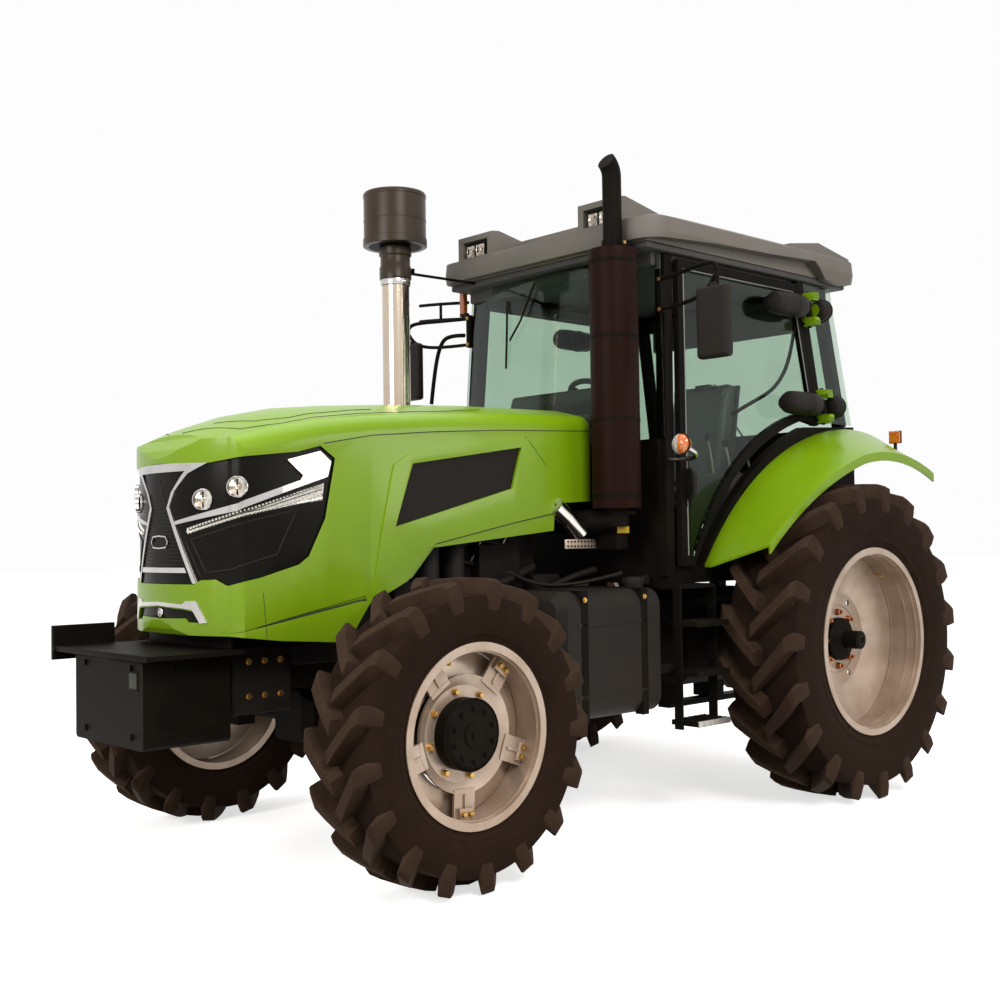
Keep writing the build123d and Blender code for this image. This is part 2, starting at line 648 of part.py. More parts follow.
mask_area = [(-640, 1792), (-560, 1792), (-297, 1784), (54, 1832), (139, 1862), (194, 1809), (155, 1547),
             (92, 1383), (56, 1349), (-84, 1298), (-216, 1266), (-270, 1293), (-341, 1290), (-378, 1272),
             (-640, 1272)]                                                        # u, z
bumper_insert = [(0, 1176), (180, 1166), (232, 1158), (266, 1112), (200, 1112), (185, 1128), (0, 1124)]    # x, z
vent_area = [(102, 1507), (206, 1798), (899, 1899), (835, 1693)]                  # y, z
vent_surround = [(-36, 1175), (22, 1470), (98, 1790), (200, 1850), (930, 1948), (1040, 1895), (1085, 1790),
                 (1115, 1640), (1110, 1572), (850, 1528), (342, 1430), (287, 1393), (150, 1240)]
slash_line = [(-715, 1066), (-60, 1184), (-60, 1204), (-500, 1116)]

hood_outer = hood_solid(0)
below = side_prism(hood_low + [(1500, 800), (-1000, 800)], -700, 700)
mask_prism = nose_cut(mask_area)
insert_prism = front_cut(bumper_insert)
vent_prism = side_prism(vent_area, -700, 700)
hinge_boss = both_sides(block(300 + running_gap, 330, bonnet_hinge_y - 20, bonnet_hinge_y + 20, 2000, 2102))
hinge_boss -= bar((-400, bonnet_hinge_y, bonnet_hinge_z), (400, bonnet_hinge_y, bonnet_hinge_z),
                  bonnet_pin_radius + running_gap)
hood_shell = hood_outer - hood_solid(hood_wall) - below - mask_prism - insert_prism - vent_prism
raised = (hood_solid(-8) - hood_outer) & (side_prism(vent_surround, -700, 700) - vent_prism - below)
slash = (hood_outer - hood_solid(7)) & side_prism(slash_line, -700, 700)
parts["hood"] = hood_shell + hinge_boss + raised - slash
parts["hood_mask"] = (hood_solid(10) - hood_solid(hood_wall + 10)) & (mask_prism + insert_prism)
parts["hood_vents"] = (hood_solid(8) - hood_solid(hood_wall)) & vent_prism

# ---- bright trim on the mask and the bumper ----
swoosh = [(18, 1797), (139, 1839), (179, 1794), (166, 1728), (-168, 1579), (-476, 1526), (-476, 1541),
          (-167, 1610), (65, 1711), (74, 1732)]                                   # u, z
grille_frame = [(0, 1790), (325, 1790), (205, 1742), (122, 1670), (86, 1606), (251, 1276), (230, 1276),
                (66, 1598), (100, 1665), (168, 1735), (190, 1754), (0, 1754)]     # x, z
grille_bar = [(0, 1343), (184, 1343), (196, 1321), (0, 1321)]
badge = [(0, 1483), (56, 1479), (76, 1453), (56, 1427), (0, 1423)]
badge_inside = [(0, 1477), (53, 1473), (69, 1453), (53, 1433), (0, 1429)]
bumper_trim = [(0, 1196), (177, 1188), (193, 1202), (253, 1203), (306, 1113), (274, 1109), (235, 1164),
               (177, 1172), (0, 1180)]
trim_shell = hood_solid(1) - hood_solid(10)
bumper_shell = hood_solid(-5) - hood_outer
mask_trim = nose_cut(swoosh) + front_cut(grille_frame) + front_cut(grille_bar)
mask_trim += front_cut(badge) - front_cut(badge_inside)
parts["hood_trim"] = (trim_shell & mask_trim & mask_prism) + (bumper_shell & front_cut(bumper_trim))

# ---- door hinges on the rear pillar ----
def door_hinges():
    brackets = []
    for z in hinge_levels:
        y = hinge_point(z)
        brackets += [block(hinge_x - 5, hinge_x + 80, y - 15, y + 34, z + 50, z + 66),
                     block(hinge_x - 5, hinge_x + 80, y - 15, y + 34, z - 66, z - 50),
                     block(hinge_x - 40, hinge_x - 5, y, y + 42, z - 66, z + 66),
                     bar((hinge_x + 32, y + 42 + running_gap, z), (hinge_x + 32, y + 140, z), 40),
                     hinge_bar(z, hinge_pin_radius, 60)]
    hinge = Part() + brackets
    return both_sides(lean_in(hinge)) - parts["cab_frame"]


# ---- mirrors and lamps ----
mirror_x, mirror_y, mirror_z = 1195, 1574, 2504


def mirrors():
    head = block(mirror_x - 98, mirror_x + 98, mirror_y - 30, mirror_y + 30, mirror_z - 180, mirror_z + 180)
    head = chamfer(head.edges().filter_by(Axis.Y), 24)
    post = bar((mirror_x + 20, mirror_y, mirror_z + 170), (mirror_x + 20, mirror_y, 2800), 12)
    arms = Part()
    for z in (2800, 2640):
        arms += bar((760, 1690, z), (mirror_x + 20, mirror_y, z), 12)
    return both_sides(head + post + arms)


def signal_lamps():
    turn = bar((765, 1690, 1905), (950, 1600, 1915), 9) + bar((950, 1580, 1915), (950, 1630, 1915), 42)
    turn = turn - parts["cab_frame"] - parts["cab_base"]
    tail = block(960, 1040, 3588, 3622, 1995, 2072) + block(990, 1010, 3592, 3614, 1940, 1995)
    return both_sides(turn) + (both_sides(tail) - parts["fenders"])


parts["door_hinges"] = door_hinges()
parts["mirrors"] = mirrors()
parts["signal_lamps"] = signal_lamps()

# ---- rear hitch: lower links, lift arms above them and the rods between, as a parallelogram ----
link_pin = (300, 2985, 600)             # x, y, z of the left side's points
link_ball = (430, 3800, 420)
rod_foot_share = 0.53                   # how far along the link the lift rod stands
rod_rise = (-20, 420)                   # y and z from the rod's foot to its head
link_depth, link_width = 70, 24
hitch_pin_radius = 14
rod_pin_radius = 10
rod_eye_width = 22
ball_bore_radius = 14.35
ball_width = 45


def along_x(radius, x0, x1, y, z):
    return bar((x0, y, z), (x1, y, z), radius)


def link_point(share):
    return tuple(a + (b - a) * share for a, b in zip(link_pin, link_ball))


def lower_links():
    px, py, pz = link_pin
    bx, by, bz = link_ball
    fx, fy, fz = link_point(rod_foot_share)
    link = beam(link_pin, link_ball, link_width, link_depth, across=(1, 0, 0))
    link += along_x(46, px - link_width / 2, px + link_width / 2, py, pz)
    link += along_x(44, bx - ball_width / 2, bx + ball_width / 2, by, bz)
    link += along_x(rod_pin_radius, fx, fx + link_width / 2 + rod_eye_width + 12, fy, fz)
    link -= along_x(hitch_pin_radius + running_gap, px - 60, px + 60, py, pz)
    link -= along_x(ball_bore_radius, bx - 60, bx + 60, by, bz)
    return both_sides(link)


def lift_arms():
    px, py, pz = link_pin[0], link_pin[1] + rod_rise[0], link_pin[2] + rod_rise[1]
    fx, fy, fz = link_point(rod_foot_share)
    tip = (fx, fy + rod_rise[0], fz + rod_rise[1])
    arm = beam((px, py, pz), tip, link_width, 62, across=(1, 0, 0))
    arm += along_x(48, px - link_width / 2, px + link_width / 2, py, pz)
    arm += along_x(30, fx - link_width / 2, fx + link_width / 2, tip[1], tip[2])
    arm += along_x(rod_pin_radius, fx, fx + link_width / 2 + rod_eye_width + 12, tip[1], tip[2])
    arm -= along_x(hitch_pin_radius + running_gap, px - 60, px + 60, py, pz)
    return both_sides(arm)


def lift_rods():
    fx, fy, fz = link_point(rod_foot_share)
    x0 = fx + link_width / 2 + 6
    foot = (x0 + rod_eye_width / 2, fy, fz)
    head = (x0 + rod_eye_width / 2, fy + rod_rise[0], fz + rod_rise[1])
    rod = bar(foot, head, 13)
    for _, y, z in (foot, head):
        rod += along_x(26, x0, x0 + rod_eye_width, y, z)
    for _, y, z in (foot, head):
        rod -= along_x(rod_pin_radius + running_gap, x0 - 20, x0 + 60, y, z)
    return both_sides(rod)


def hitch_pins():
    """Pins on the rear housing that carry the lower links and the lift arms."""
    px, py, pz = link_pin
    pins = Part()
    for y, z in ((py, pz), (py + rod_rise[0], pz + rod_rise[1])):
        pins += along_x(hitch_pin_radius, transmission_x + 10, px + link_width / 2 + 10, y, z)
        pins += along_x(34, transmission_x + 10, px - link_width / 2 - 3, y, z)
    return both_sides(pins)


drawbar_pin_y = 3330
drawbar_pin_radius = 16


def drawbar():
    bar_piece = block(-45, 45, 2560, drawbar_pin_y + 60, 400, 435)
    hanger = block(-90, 90, 2960, 3040, 435, 560) + block(-90, 90, 2560, 2640, 435, 560)
    return bar_piece + hanger - Pos(0, drawbar_pin_y, 417) * Cylinder(drawbar_pin_radius, 60)


parts["transmission"] += hitch_pins()
parts["lower_links"] = lower_links()
parts["lift_arms"] = lift_arms()
parts["lift_rods"] = lift_rods()
parts["drawbar"] = drawbar()

# ---- headlamps: a row of light in each cheek of the mask, and two round lamps above it ----
led_band = [(-414, 1500), (-113, 1582), (150, 1699), (143, 1626), (46, 1607), (-406, 1486)]       # u, z
lamp_places = [(288, -752, 1630), (442, -680, 1679)]
lamp_radius = 42


def headlamps():
    lamps = Part()
    for x, y, z in lamp_places:
        lamps += bar((x - 40, y + 40, z), (x + 30, y - 30, z), lamp_radius)
    lens_shell = hood_solid(4) - hood_solid(10)
    return lens_shell & mask_prism & (nose_cut(led_band) + both_sides(lamps)) - parts["hood_trim"]


parts["headlamps"] = headlamps()

os.makedirs("parts", exist_ok=True)
for name, shape in parts.items():
    moved = Pos(0, -origin_y, 0) * shape
    moved.label = name
    export_step(moved, f"parts/{name}.step")
    print(name, len(moved.solids()))
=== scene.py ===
import json
import math
import bpy
import bmesh
from mathutils import Matrix, Vector
from mathutils.bvhtree import BVHTree

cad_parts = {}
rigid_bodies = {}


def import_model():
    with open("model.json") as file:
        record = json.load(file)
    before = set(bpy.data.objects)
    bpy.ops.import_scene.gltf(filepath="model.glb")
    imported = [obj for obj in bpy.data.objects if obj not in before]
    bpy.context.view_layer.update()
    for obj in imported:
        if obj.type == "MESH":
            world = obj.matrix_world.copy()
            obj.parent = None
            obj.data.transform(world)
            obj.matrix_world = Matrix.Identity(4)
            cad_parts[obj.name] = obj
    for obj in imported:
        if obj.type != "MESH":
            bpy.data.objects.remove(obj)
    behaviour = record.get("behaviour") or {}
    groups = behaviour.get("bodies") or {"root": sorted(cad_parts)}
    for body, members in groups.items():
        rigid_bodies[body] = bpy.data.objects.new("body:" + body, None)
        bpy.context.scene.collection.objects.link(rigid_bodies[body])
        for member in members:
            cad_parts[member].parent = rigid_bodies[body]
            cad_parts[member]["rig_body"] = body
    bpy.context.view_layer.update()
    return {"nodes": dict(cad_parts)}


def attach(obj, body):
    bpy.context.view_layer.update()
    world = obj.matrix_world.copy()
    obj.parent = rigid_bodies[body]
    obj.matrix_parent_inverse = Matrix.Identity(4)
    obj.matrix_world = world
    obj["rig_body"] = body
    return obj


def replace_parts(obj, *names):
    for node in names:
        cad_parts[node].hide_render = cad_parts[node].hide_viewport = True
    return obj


# A farm tractor dressed over its CAD frame. Metres, +Z up, the nose at -Y, its left side at +X.
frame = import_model()
nodes = frame["nodes"]
frontY = -1.377  # the front axle's y in the frame, from which the y of each piece below is measured
print("frame loaded:", len(nodes), "nodes")


# a node's inputs by name or number: a socket is linked, any other value is set
def feed(tree, node, inputs):
    for socket, value in inputs.items():
        if isinstance(value, bpy.types.NodeSocket):
            tree.links.new(value, node.inputs[socket])
        else:
            node.inputs[socket].default_value = value


def added(tree, kind, inputs={}, **settings):
    node = tree.nodes.new(kind)
    for name, value in settings.items():
        setattr(node, name, value)
    feed(tree, node, inputs)
    return node


# camera: its place, its turn in degrees, its lens and sensor in millimetres
view = {"place": (5.048, -4.8362, 1.4505), "yaw": 47.1812, "pitch": -1.7129, "roll": 0.8165,
        "lens": 45.684, "sensor": 36}


def makeCamera():
    yaw, pitch, roll = (math.radians(view[part]) for part in ("yaw", "pitch", "roll"))
    forward = Vector((-math.sin(yaw) * math.cos(pitch), math.cos(yaw) * math.cos(pitch), -math.sin(pitch)))
    right = Vector((math.cos(yaw), math.sin(yaw), 0))
    down = forward.cross(right)
    tippedRight = right * math.cos(roll) + down * math.sin(roll)
    tippedDown = down * math.cos(roll) - right * math.sin(roll)
    aim = Matrix((tippedRight, -tippedDown, -forward)).transposed()
    data = bpy.data.cameras.new("camera")
    data.lens, data.sensor_width = view["lens"], view["sensor"]
    camera = bpy.data.objects.new("camera", data)
    camera.matrix_world = Matrix.Translation(view["place"]) @ aim.to_4x4()
    bpy.context.scene.collection.objects.link(camera)
    bpy.context.scene.camera = camera


# floor and world: seen rays meet a pale floor under white, all others a dim floor and a warm world
# that brightens between two heights
stage = {"reach": 60, "floor": (0.86, 0.86, 0.85, 1), "glow": 0.66, "bounce": (0.20, 0.17, 0.14, 1),
         "white": (0.98, 0.98, 0.98, 1), "warm": (1.0, 0.97, 0.93, 1), "heights": (-0.15, 0.75),
         "strengths": (0.10, 0.62), "seenRays": ("Is Camera Ray", "Is Glossy Ray", "Is Transmission Ray")}


# the first shader for all rays but the seen ones, which get the second
def chosenByRay(tree, first, second, output):
    rays = tree.nodes.new("ShaderNodeLightPath")
    total, *others = [rays.outputs[kind] for kind in stage["seenRays"]]
    for other in others:
        total = added(tree, "ShaderNodeMath", {0: total, 1: other}, operation="MAXIMUM").outputs[0]
    mix = added(tree, "ShaderNodeMixShader", {0: total, 1: first.outputs[0], 2: second.outputs[0]})
    tree.links.new(mix.outputs[0], output)


def spread(tree, value, low, high, start=0, end=1):
    return added(tree, "ShaderNodeMapRange", {"Value": value, "From Min": start, "From Max": end,
                                              "To Min": low, "To Max": high}).outputs["Result"]


def makeStage():
    reach = stage["reach"]
    floor = bpy.data.meshes.new("floor")
    corners = [(-reach, -reach, 0), (reach, -reach, 0), (reach, reach, 0), (-reach, reach, 0)]
    floor.from_pydata(corners, [], [(0, 1, 2, 3)])
    ground = bpy.data.objects.new("floor", floor)
    bpy.context.scene.collection.objects.link(ground)
    pale = bpy.data.materials.new("paleFloor")
    pale.use_nodes = True
    tree = pale.node_tree
    tree.nodes.remove(tree.nodes["Principled BSDF"])
    lit = added(tree, "ShaderNodeBsdfDiffuse", {"Color": stage["floor"]})
    glow = added(tree, "ShaderNodeEmission", {"Strength": stage["glow"]})
    bounce = added(tree, "ShaderNodeBsdfDiffuse", {"Color": stage["bounce"]})
    seenFloor = added(tree, "ShaderNodeAddShader", {0: lit.outputs[0], 1: glow.outputs[0]})
    chosenByRay(tree, bounce, seenFloor, tree.nodes["Material Output"].inputs["Surface"])
    floor.materials.append(pale)
    world = bpy.data.worlds.new("studio")
    world.use_nodes = True
    tree = world.node_tree
    seen = tree.nodes["Background"]
    feed(tree, seen, {"Color": stage["white"], "Strength": 1})
    place = tree.nodes.new("ShaderNodeTexCoord").outputs["Generated"]
    height = added(tree, "ShaderNodeSeparateXYZ", {0: place}).outputs["Z"]
    strength = spread(tree, height, *stage["strengths"], *stage["heights"])
    light = added(tree, "ShaderNodeBackground", {"Color": stage["warm"], "Strength": strength})
    chosenByRay(tree, light, seen, tree.nodes["World Output"].inputs["Surface"])
    bpy.context.scene.world = world


# soft boxes: place, target, width and height, watts, colour
lamps = {"keyLight": ((8.0, -3.0, 6.8), (0, 0, 1.2), (4, 3), 500, (1, 0.95, 0.89)),
         "sideLight": ((8.5, 4.0, 3.5), (0, 0.5, 1.2), (4, 2.5), 170, (1, 0.96, 0.92)),
         "topLight": ((0, 0, 9.0), (0, 0, 0), (7, 9), 340, (1, 1, 1)),
         "noseLight": ((1.0, -9.5, 4.2), (0, -1.5, 1.2), (4, 3), 430, (1, 0.96, 0.91))}


def softbox(name, place, target, size, power, colour):
    data = bpy.data.lights.new(name, "AREA")
    data.shape = "RECTANGLE"
    data.size, data.size_y = size
    data.energy = power
    data.color = colour
    lamp = bpy.data.objects.new(name, data)
    aim = Vector(target) - Vector(place)
    lamp.matrix_world = Matrix.Translation(place) @ aim.to_track_quat("-Z", "Y").to_matrix().to_4x4()
    bpy.context.scene.collection.objects.link(lamp)


makeCamera()
makeStage()
for name, lamp in lamps.items():
    softbox(name, *lamp)
bpy.context.scene.view_settings.view_transform = "Standard"
print("camera, floor and light set")

# the muffler guard's upright axis and radius, for its piece and for the holes in its finish
guard = {"x": 0.65, "y": 1.44, "radius": 0.1262}

# finishes: two colours in patches, roughness from and to, grain scale and depth, and dust and painted shade
# as its share at the ground, its colour and the height where it ends: painted shade on the green paint, dust on
# the rest
finishes = {
    # the green paint's dust colour is a dark olive: painted shade on the lower body towards the ground
    "greenPaint": {"base": (0.165, 0.312, 0.003), "second": (0.200, 0.358, 0.004), "patch": 1.6,
                   "roughness": (0.24, 0.36), "coat": 0.12, "specular": 0.25, "grain": (420, 0.012),
                   "dustAndShade": (0.42, (0.07, 0.07, 0.012), 1.75)},
    "blackPaint": {"base": (0.0045, 0.004, 0.0035), "second": (0.010, 0.008, 0.006), "patch": 6,
                   "roughness": (0.40, 0.60), "specular": 0.03, "grain": (160, 0.03),
                   "dustAndShade": (0.18, (0.04, 0.028, 0.02), 1.1)},
    "castIron": {"base": (0.006, 0.0055, 0.005), "second": (0.016, 0.013, 0.011), "patch": 9,
                 "roughness": (0.55, 0.8), "specular": 0.06, "grain": (70, 0.25),
                 "dustAndShade": (0.25, (0.06, 0.045, 0.03), 1.3)},
    "silverPaint": {"base": (0.52, 0.43, 0.36), "second": (0.34, 0.25, 0.18), "patch": 7,
                    "roughness": (0.24, 0.42), "metal": 0.4, "grain": (240, 0.04),
                    "dustAndShade": (0.35, (0.26, 0.15, 0.08), 1.0)},
    "tyreRubber": {"base": (0.011, 0.006, 0.0045), "second": (0.024, 0.014, 0.010), "patch": 9,
                   "roughness": (0.7, 0.92), "specular": 0.04, "grain": (130, 0.18),
                   "dustAndShade": (0.4, (0.036, 0.021, 0.014), 1.9)},
    "tyreTread": {"base": (0.022, 0.013, 0.009), "second": (0.046, 0.028, 0.019), "patch": 14,
                  "roughness": (0.6, 0.88), "specular": 0.06, "grain": (120, 0.25),
                  "dustAndShade": (0.5, (0.058, 0.034, 0.022), 2.2)},
    "moulding": {"base": (0.006, 0.005, 0.004), "second": (0.013, 0.010, 0.008), "patch": 5,
                 "roughness": (0.5, 0.7), "specular": 0.16, "grain": (520, 0.12),
                 "dustAndShade": (0.3, (0.05, 0.036, 0.027), 1.3)},
    "maskBlack": {"base": (0.005, 0.005, 0.004), "second": (0.010, 0.009, 0.007), "patch": 4,
                  "roughness": (0.16, 0.30), "specular": 0.06, "grain": (300, 0.01)},
    "roofMoulding": {"base": (0.105, 0.095, 0.083), "second": (0.150, 0.136, 0.121), "patch": 3,
                     "roughness": (0.5, 0.68), "grain": (420, 0.12)},
    "chromePlate": {"base": (0.66, 0.64, 0.62), "second": (0.46, 0.44, 0.42), "patch": 7,
                    "roughness": (0.08, 0.20), "metal": 1.0, "grain": (200, 0.01)},
    "copperPlate": {"base": (0.42, 0.17, 0.08), "second": (0.28, 0.11, 0.05), "patch": 60,
                    "roughness": (0.25, 0.45), "metal": 1.0, "grain": (500, 0.05)},
    "yellowZinc": {"base": (0.55, 0.36, 0.12), "second": (0.42, 0.25, 0.08), "patch": 60,
                   "roughness": (0.25, 0.45), "metal": 1.0, "grain": (500, 0.05)},
    "yellowPlastic": {"base": (0.75, 0.50, 0.02), "second": (0.62, 0.40, 0.02), "patch": 80,
                      "roughness": (0.35, 0.5), "grain": (400, 0.02)},
    "gapShadow": {"base": (0.004, 0.006, 0.002), "second": (0.010, 0.014, 0.003), "patch": 12,
                  "roughness": (0.6, 0.8), "grain": (300, 0.02)},
    "ledGlass": {"base": (0.88, 0.86, 0.80), "second": (0.62, 0.58, 0.52), "patch": 70,
                 "roughness": (0.06, 0.16), "metal": 0.65, "coat": 0.8, "grain": (300, 0.02)},
    "reflector": {"base": (0.55, 0.50, 0.44), "second": (0.20, 0.15, 0.11), "patch": 55,
                  "roughness": (0.05, 0.14), "metal": 1.0, "grain": (240, 0.03)},
    "perforatedSheet": {"base": (0.005, 0.004, 0.0035), "second": (0.009, 0.006, 0.005), "patch": 5,
                        "roughness": (0.35, 0.55), "specular": 0.04, "grain": (160, 0.03),
                        # the holes are a dim red-brown: painted light seen through them
                        "holes": {"scale": 62, "edge": (0.34, 0.42), "through": (0.024, 0.0055, 0.003),
                                  "tube": (guard["x"], guard["y"] + frontY, guard["radius"])}},
    "polishedPipe": {"base": (0.66, 0.56, 0.45), "second": (0.50, 0.40, 0.30), "patch": 4,
                     "roughness": (0.10, 0.24), "metal": 1.0, "grain": (260, 0.01)},
    "bronzePaint": {"base": (0.030, 0.020, 0.013), "second": (0.048, 0.033, 0.022), "patch": 7,
                    "roughness": (0.22, 0.42), "specular": 0.2, "grain": (200, 0.02)},
    "mirrorGlass": {"base": (0.80, 0.82, 0.82), "second": (0.70, 0.73, 0.74), "patch": 3,
                    "roughness": (0.02, 0.06), "metal": 1.0, "grain": (300, 0.004)},
    # the door seal's light grey is a painted highlight along the inside of the glass
    "sealRubber": {"base": (0.16, 0.17, 0.16), "second": (0.24, 0.25, 0.24), "patch": 14,
                   "roughness": (0.4, 0.6), "grain": (400, 0.05)},
    "wornEdge": {"base": (0.62, 0.60, 0.56), "second": (0.22, 0.20, 0.18), "patch": 26,
                 "roughness": (0.3, 0.5), "metal": 0.7, "grain": (180, 0.06)},
    "seatCloth": {"base": (0.020, 0.020, 0.021), "second": (0.040, 0.040, 0.042), "patch": 11,
                  "roughness": (0.3, 0.55), "coat": 0.4, "grain": (45, 0.5)},
    "cabTrim": {"base": (0.030, 0.029, 0.028), "second": (0.045, 0.043, 0.041), "patch": 6,
                "roughness": (0.6, 0.8), "grain": (600, 0.15)},
}
# how patches, speckled dust and painted shade, grain and clear coat are mixed in all of them
wear = {"patchSpread": (-0.4, 1.4), "speckle": (22, 6, 0.7), "speckleSpread": (0.1, 1.7),
        "bumpStrength": 4, "bumpDistance": 0.01, "coatRoughness": 0.08}
cabGlass = {"first": (0.50, 0.62, 0.53), "second": (0.60, 0.71, 0.62), "index": 1.25, "film": (3, 5),
            "roughness": (0.0, 0.05)}
# lenses: two colours and the number of facets to a metre
lenses = {"clearLens": ((0.75, 0.74, 0.70), (0.32, 0.31, 0.29), 90),
          "amberLens": ((0.85, 0.22, 0.015), (0.45, 0.07, 0.005), 110)}
lensShine = {"coat": 0.8, "specular": 0.7, "roughness": (0.08, 0.2), "bump": (0.5, 0.002)}


def noise(tree, place, scale, detail=4, roughness=0.55):
    return added(tree, "ShaderNodeTexNoise", {"Vector": place, "Scale": scale, "Detail": detail,
                                              "Roughness": roughness}).outputs["Fac"]


def between(tree, share, first, second):
    first, second = ((*colour, 1) if isinstance(colour, tuple) else colour for colour in (first, second))
    return added(tree, "ShaderNodeMix", {0: share, 6: first, 7: second}, data_type="RGBA").outputs[2]


def bumped(tree, height, strength, distance):
    return added(tree, "ShaderNodeBump", {"Height": height, "Strength": strength,
                                          "Distance": distance}).outputs["Normal"]


# the way round an upright tube and up it, turned a half right angle, so that holes stand staggered
def wrapped(tree, place, x, y, radius):
    centred = added(tree, "ShaderNodeVectorMath", {0: place, 1: (x, y, 0)}, operation="SUBTRACT")
    split = added(tree, "ShaderNodeSeparateXYZ", {0: centred.outputs[0]})
    angle = added(tree, "ShaderNodeMath", {0: split.outputs["X"], 1: split.outputs["Y"]}, operation="ARCTAN2")
    arc = added(tree, "ShaderNodeMath", {0: angle.outputs[0], 1: radius}, operation="MULTIPLY")
    flat = added(tree, "ShaderNodeCombineXYZ", {"X": arc.outputs[0], "Y": split.outputs["Z"]})
    return added(tree, "ShaderNodeVectorRotate", {"Vector": flat.outputs[0], "Angle": math.pi / 4},
                 rotation_type="Z_AXIS").outputs[0]


def emptyFinish(name):
    material = bpy.data.materials.new(name)
    material.use_nodes = True
    tree = material.node_tree
    return material, tree, tree.nodes["Principled BSDF"], tree.nodes.new("ShaderNodeTexCoord").outputs["Object"]


def solidFinish(name, look):
    material, tree, shader, place = emptyFinish(name)
    patches = noise(tree, place, look["patch"])
    colour = between(tree, spread(tree, patches, *wear["patchSpread"]), look["base"], look["second"])
    # towards the ground a second colour is mixed in, speckled: painted shade on the green paint, dust on the
    # other finishes
    if "dustAndShade" in look:
        amount, dustAndShadeColour, top = look["dustAndShade"]
        height = added(tree, "ShaderNodeSeparateXYZ", {0: place}).outputs["Z"]
        speckle = spread(tree, noise(tree, place, *wear["speckle"]), *wear["speckleSpread"])
        share = added(tree, "ShaderNodeMath", {0: spread(tree, height, amount, 0, 0, top), 1: speckle},
                      operation="MULTIPLY").outputs[0]
        colour = between(tree, share, colour, dustAndShadeColour)
    if "holes" in look:
        holes = look["holes"]
        dots = added(tree, "ShaderNodeTexVoronoi", {"Scale": holes["scale"], "Randomness": 0,
                                                    "Vector": wrapped(tree, place, *holes["tube"])},
                     voronoi_dimensions="2D").outputs["Distance"]
        # the holes take the dim red-brown of painted light seen through them
        colour = between(tree, spread(tree, dots, 0, 1, *holes["edge"]), holes["through"], colour)
    scale, depth = look["grain"]
    grain = bumped(tree, noise(tree, place, scale, 3), min(1, depth * wear["bumpStrength"]),
                   depth * wear["bumpDistance"])
    feed(tree, shader, {"Metallic": look.get("metal", 0), "Specular IOR Level": look.get("specular", 0.5),
                        "Coat Weight": look.get("coat", 0), "Coat Roughness": wear["coatRoughness"],
                        "Base Color": colour, "Roughness": spread(tree, patches, *look["roughness"]),
                        "Normal": grain})
    return material


def cabGlassFinish(name):
    material, tree, shader, place = emptyFinish(name)
    film = noise(tree, place, *cabGlass["film"])
    feed(tree, shader, {"Transmission Weight": 1, "IOR": cabGlass["index"],
                        "Base Color": between(tree, film, cabGlass["first"], cabGlass["second"]),
                        "Roughness": spread(tree, film, *cabGlass["roughness"])})
    return material


def lensFinish(name, first, second, facets):
    material, tree, shader, place = emptyFinish(name)
    cells = added(tree, "ShaderNodeTexVoronoi", {"Scale": facets, "Vector": place}).outputs["Distance"]
    feed(tree, shader, {"Coat Weight": lensShine["coat"], "Specular IOR Level": lensShine["specular"],
                        "Base Color": between(tree, cells, first, second),
                        "Roughness": spread(tree, cells, *lensShine["roughness"]),
                        "Normal": bumped(tree, cells, *lensShine["bump"])})
    return material


made = {name: solidFinish(name, look) for name, look in finishes.items()}
made["tintedGlass"] = cabGlassFinish("tintedGlass")
made.update({name: lensFinish(name, *lens) for name, lens in lenses.items()})

# the finish of each CAD node by its name or its ending; all others are black paint
nodeFinish = {
    "greenPaint": ("hood", "fenders", "door_hinges"), "maskBlack": ("hood_mask",),
    "moulding": ("hood_vents", "fuel_tank", "mirrors"), "chromePlate": ("hood_trim",),
    "clearLens": ("headlamps", "roof_lamps"), "amberLens": ("signal_lamps",), "roofMoulding": ("roof",),
    "castIron": ("engine", "transmission"), "cabTrim": ("dashboard", "steering_wheel", "seat"),
    "tintedGlass": ("windshield", "rear_glass", "left_door_glass", "right_door_glass"),
    "tyreRubber": ("_tyre",), "silverPaint": ("_rim",)}
for name, node in nodes.items():
    chosen = "blackPaint"
    for look, names in nodeFinish.items():
        if name in names or any(name.endswith(ending) for ending in names if ending[0] == "_"):
            chosen = look
    node.data.materials.clear()
    node.data.materials.append(made[chosen])
print("finishes on the CAD nodes")


# makers of shapes: each gives a mesh in metres
def shaded(mesh, sharp=0.6):
    mesh.polygons.foreach_set("use_smooth", [True] * len(mesh.polygons))
    mesh.set_sharp_from_angle(angle=sharp)
    return mesh


def meshOf(shape, sharp=0.6):
    bmesh.ops.recalc_face_normals(shape, faces=shape.faces)
    mesh = bpy.data.meshes.new("shape")
    shape.to_mesh(mesh)
    shape.free()
    return shaded(mesh, sharp)


def moved(mesh, *matrices):
    total = Matrix.Identity(4)
    for matrix in matrices:
        total = total @ matrix
    mesh.transform(total)
    if total.determinant() < 0:
        mesh.flip_normals()
    return mesh


def mirrored(mesh):
    return moved(mesh.copy(), Matrix.Diagonal((-1, 1, 1, 1)))


def turn(degrees, axis):
    return Matrix.Rotation(math.radians(degrees), 4, axis)


def shift(x, y, z):
    return Matrix.Translation((x, y, z))


def bevelled(shape, width, segments):
    bmesh.ops.bevel(shape, geom=shape.edges[:], offset=width, segments=segments, profile=0.6,
                    affect="EDGES", clamp_overlap=True)


def block(low, high, bevel=0.004, segments=2):
    shape = bmesh.new()
    size = [b - a for a, b in zip(low, high)]
    middle = [(a + b) / 2 for a, b in zip(low, high)]
    bmesh.ops.create_cube(shape, size=1, matrix=Matrix.Translation(middle) @ Matrix.Diagonal((*size, 1)))
    bevelled(shape, min(bevel, min(size) * 0.45), segments)
    return meshOf(shape)


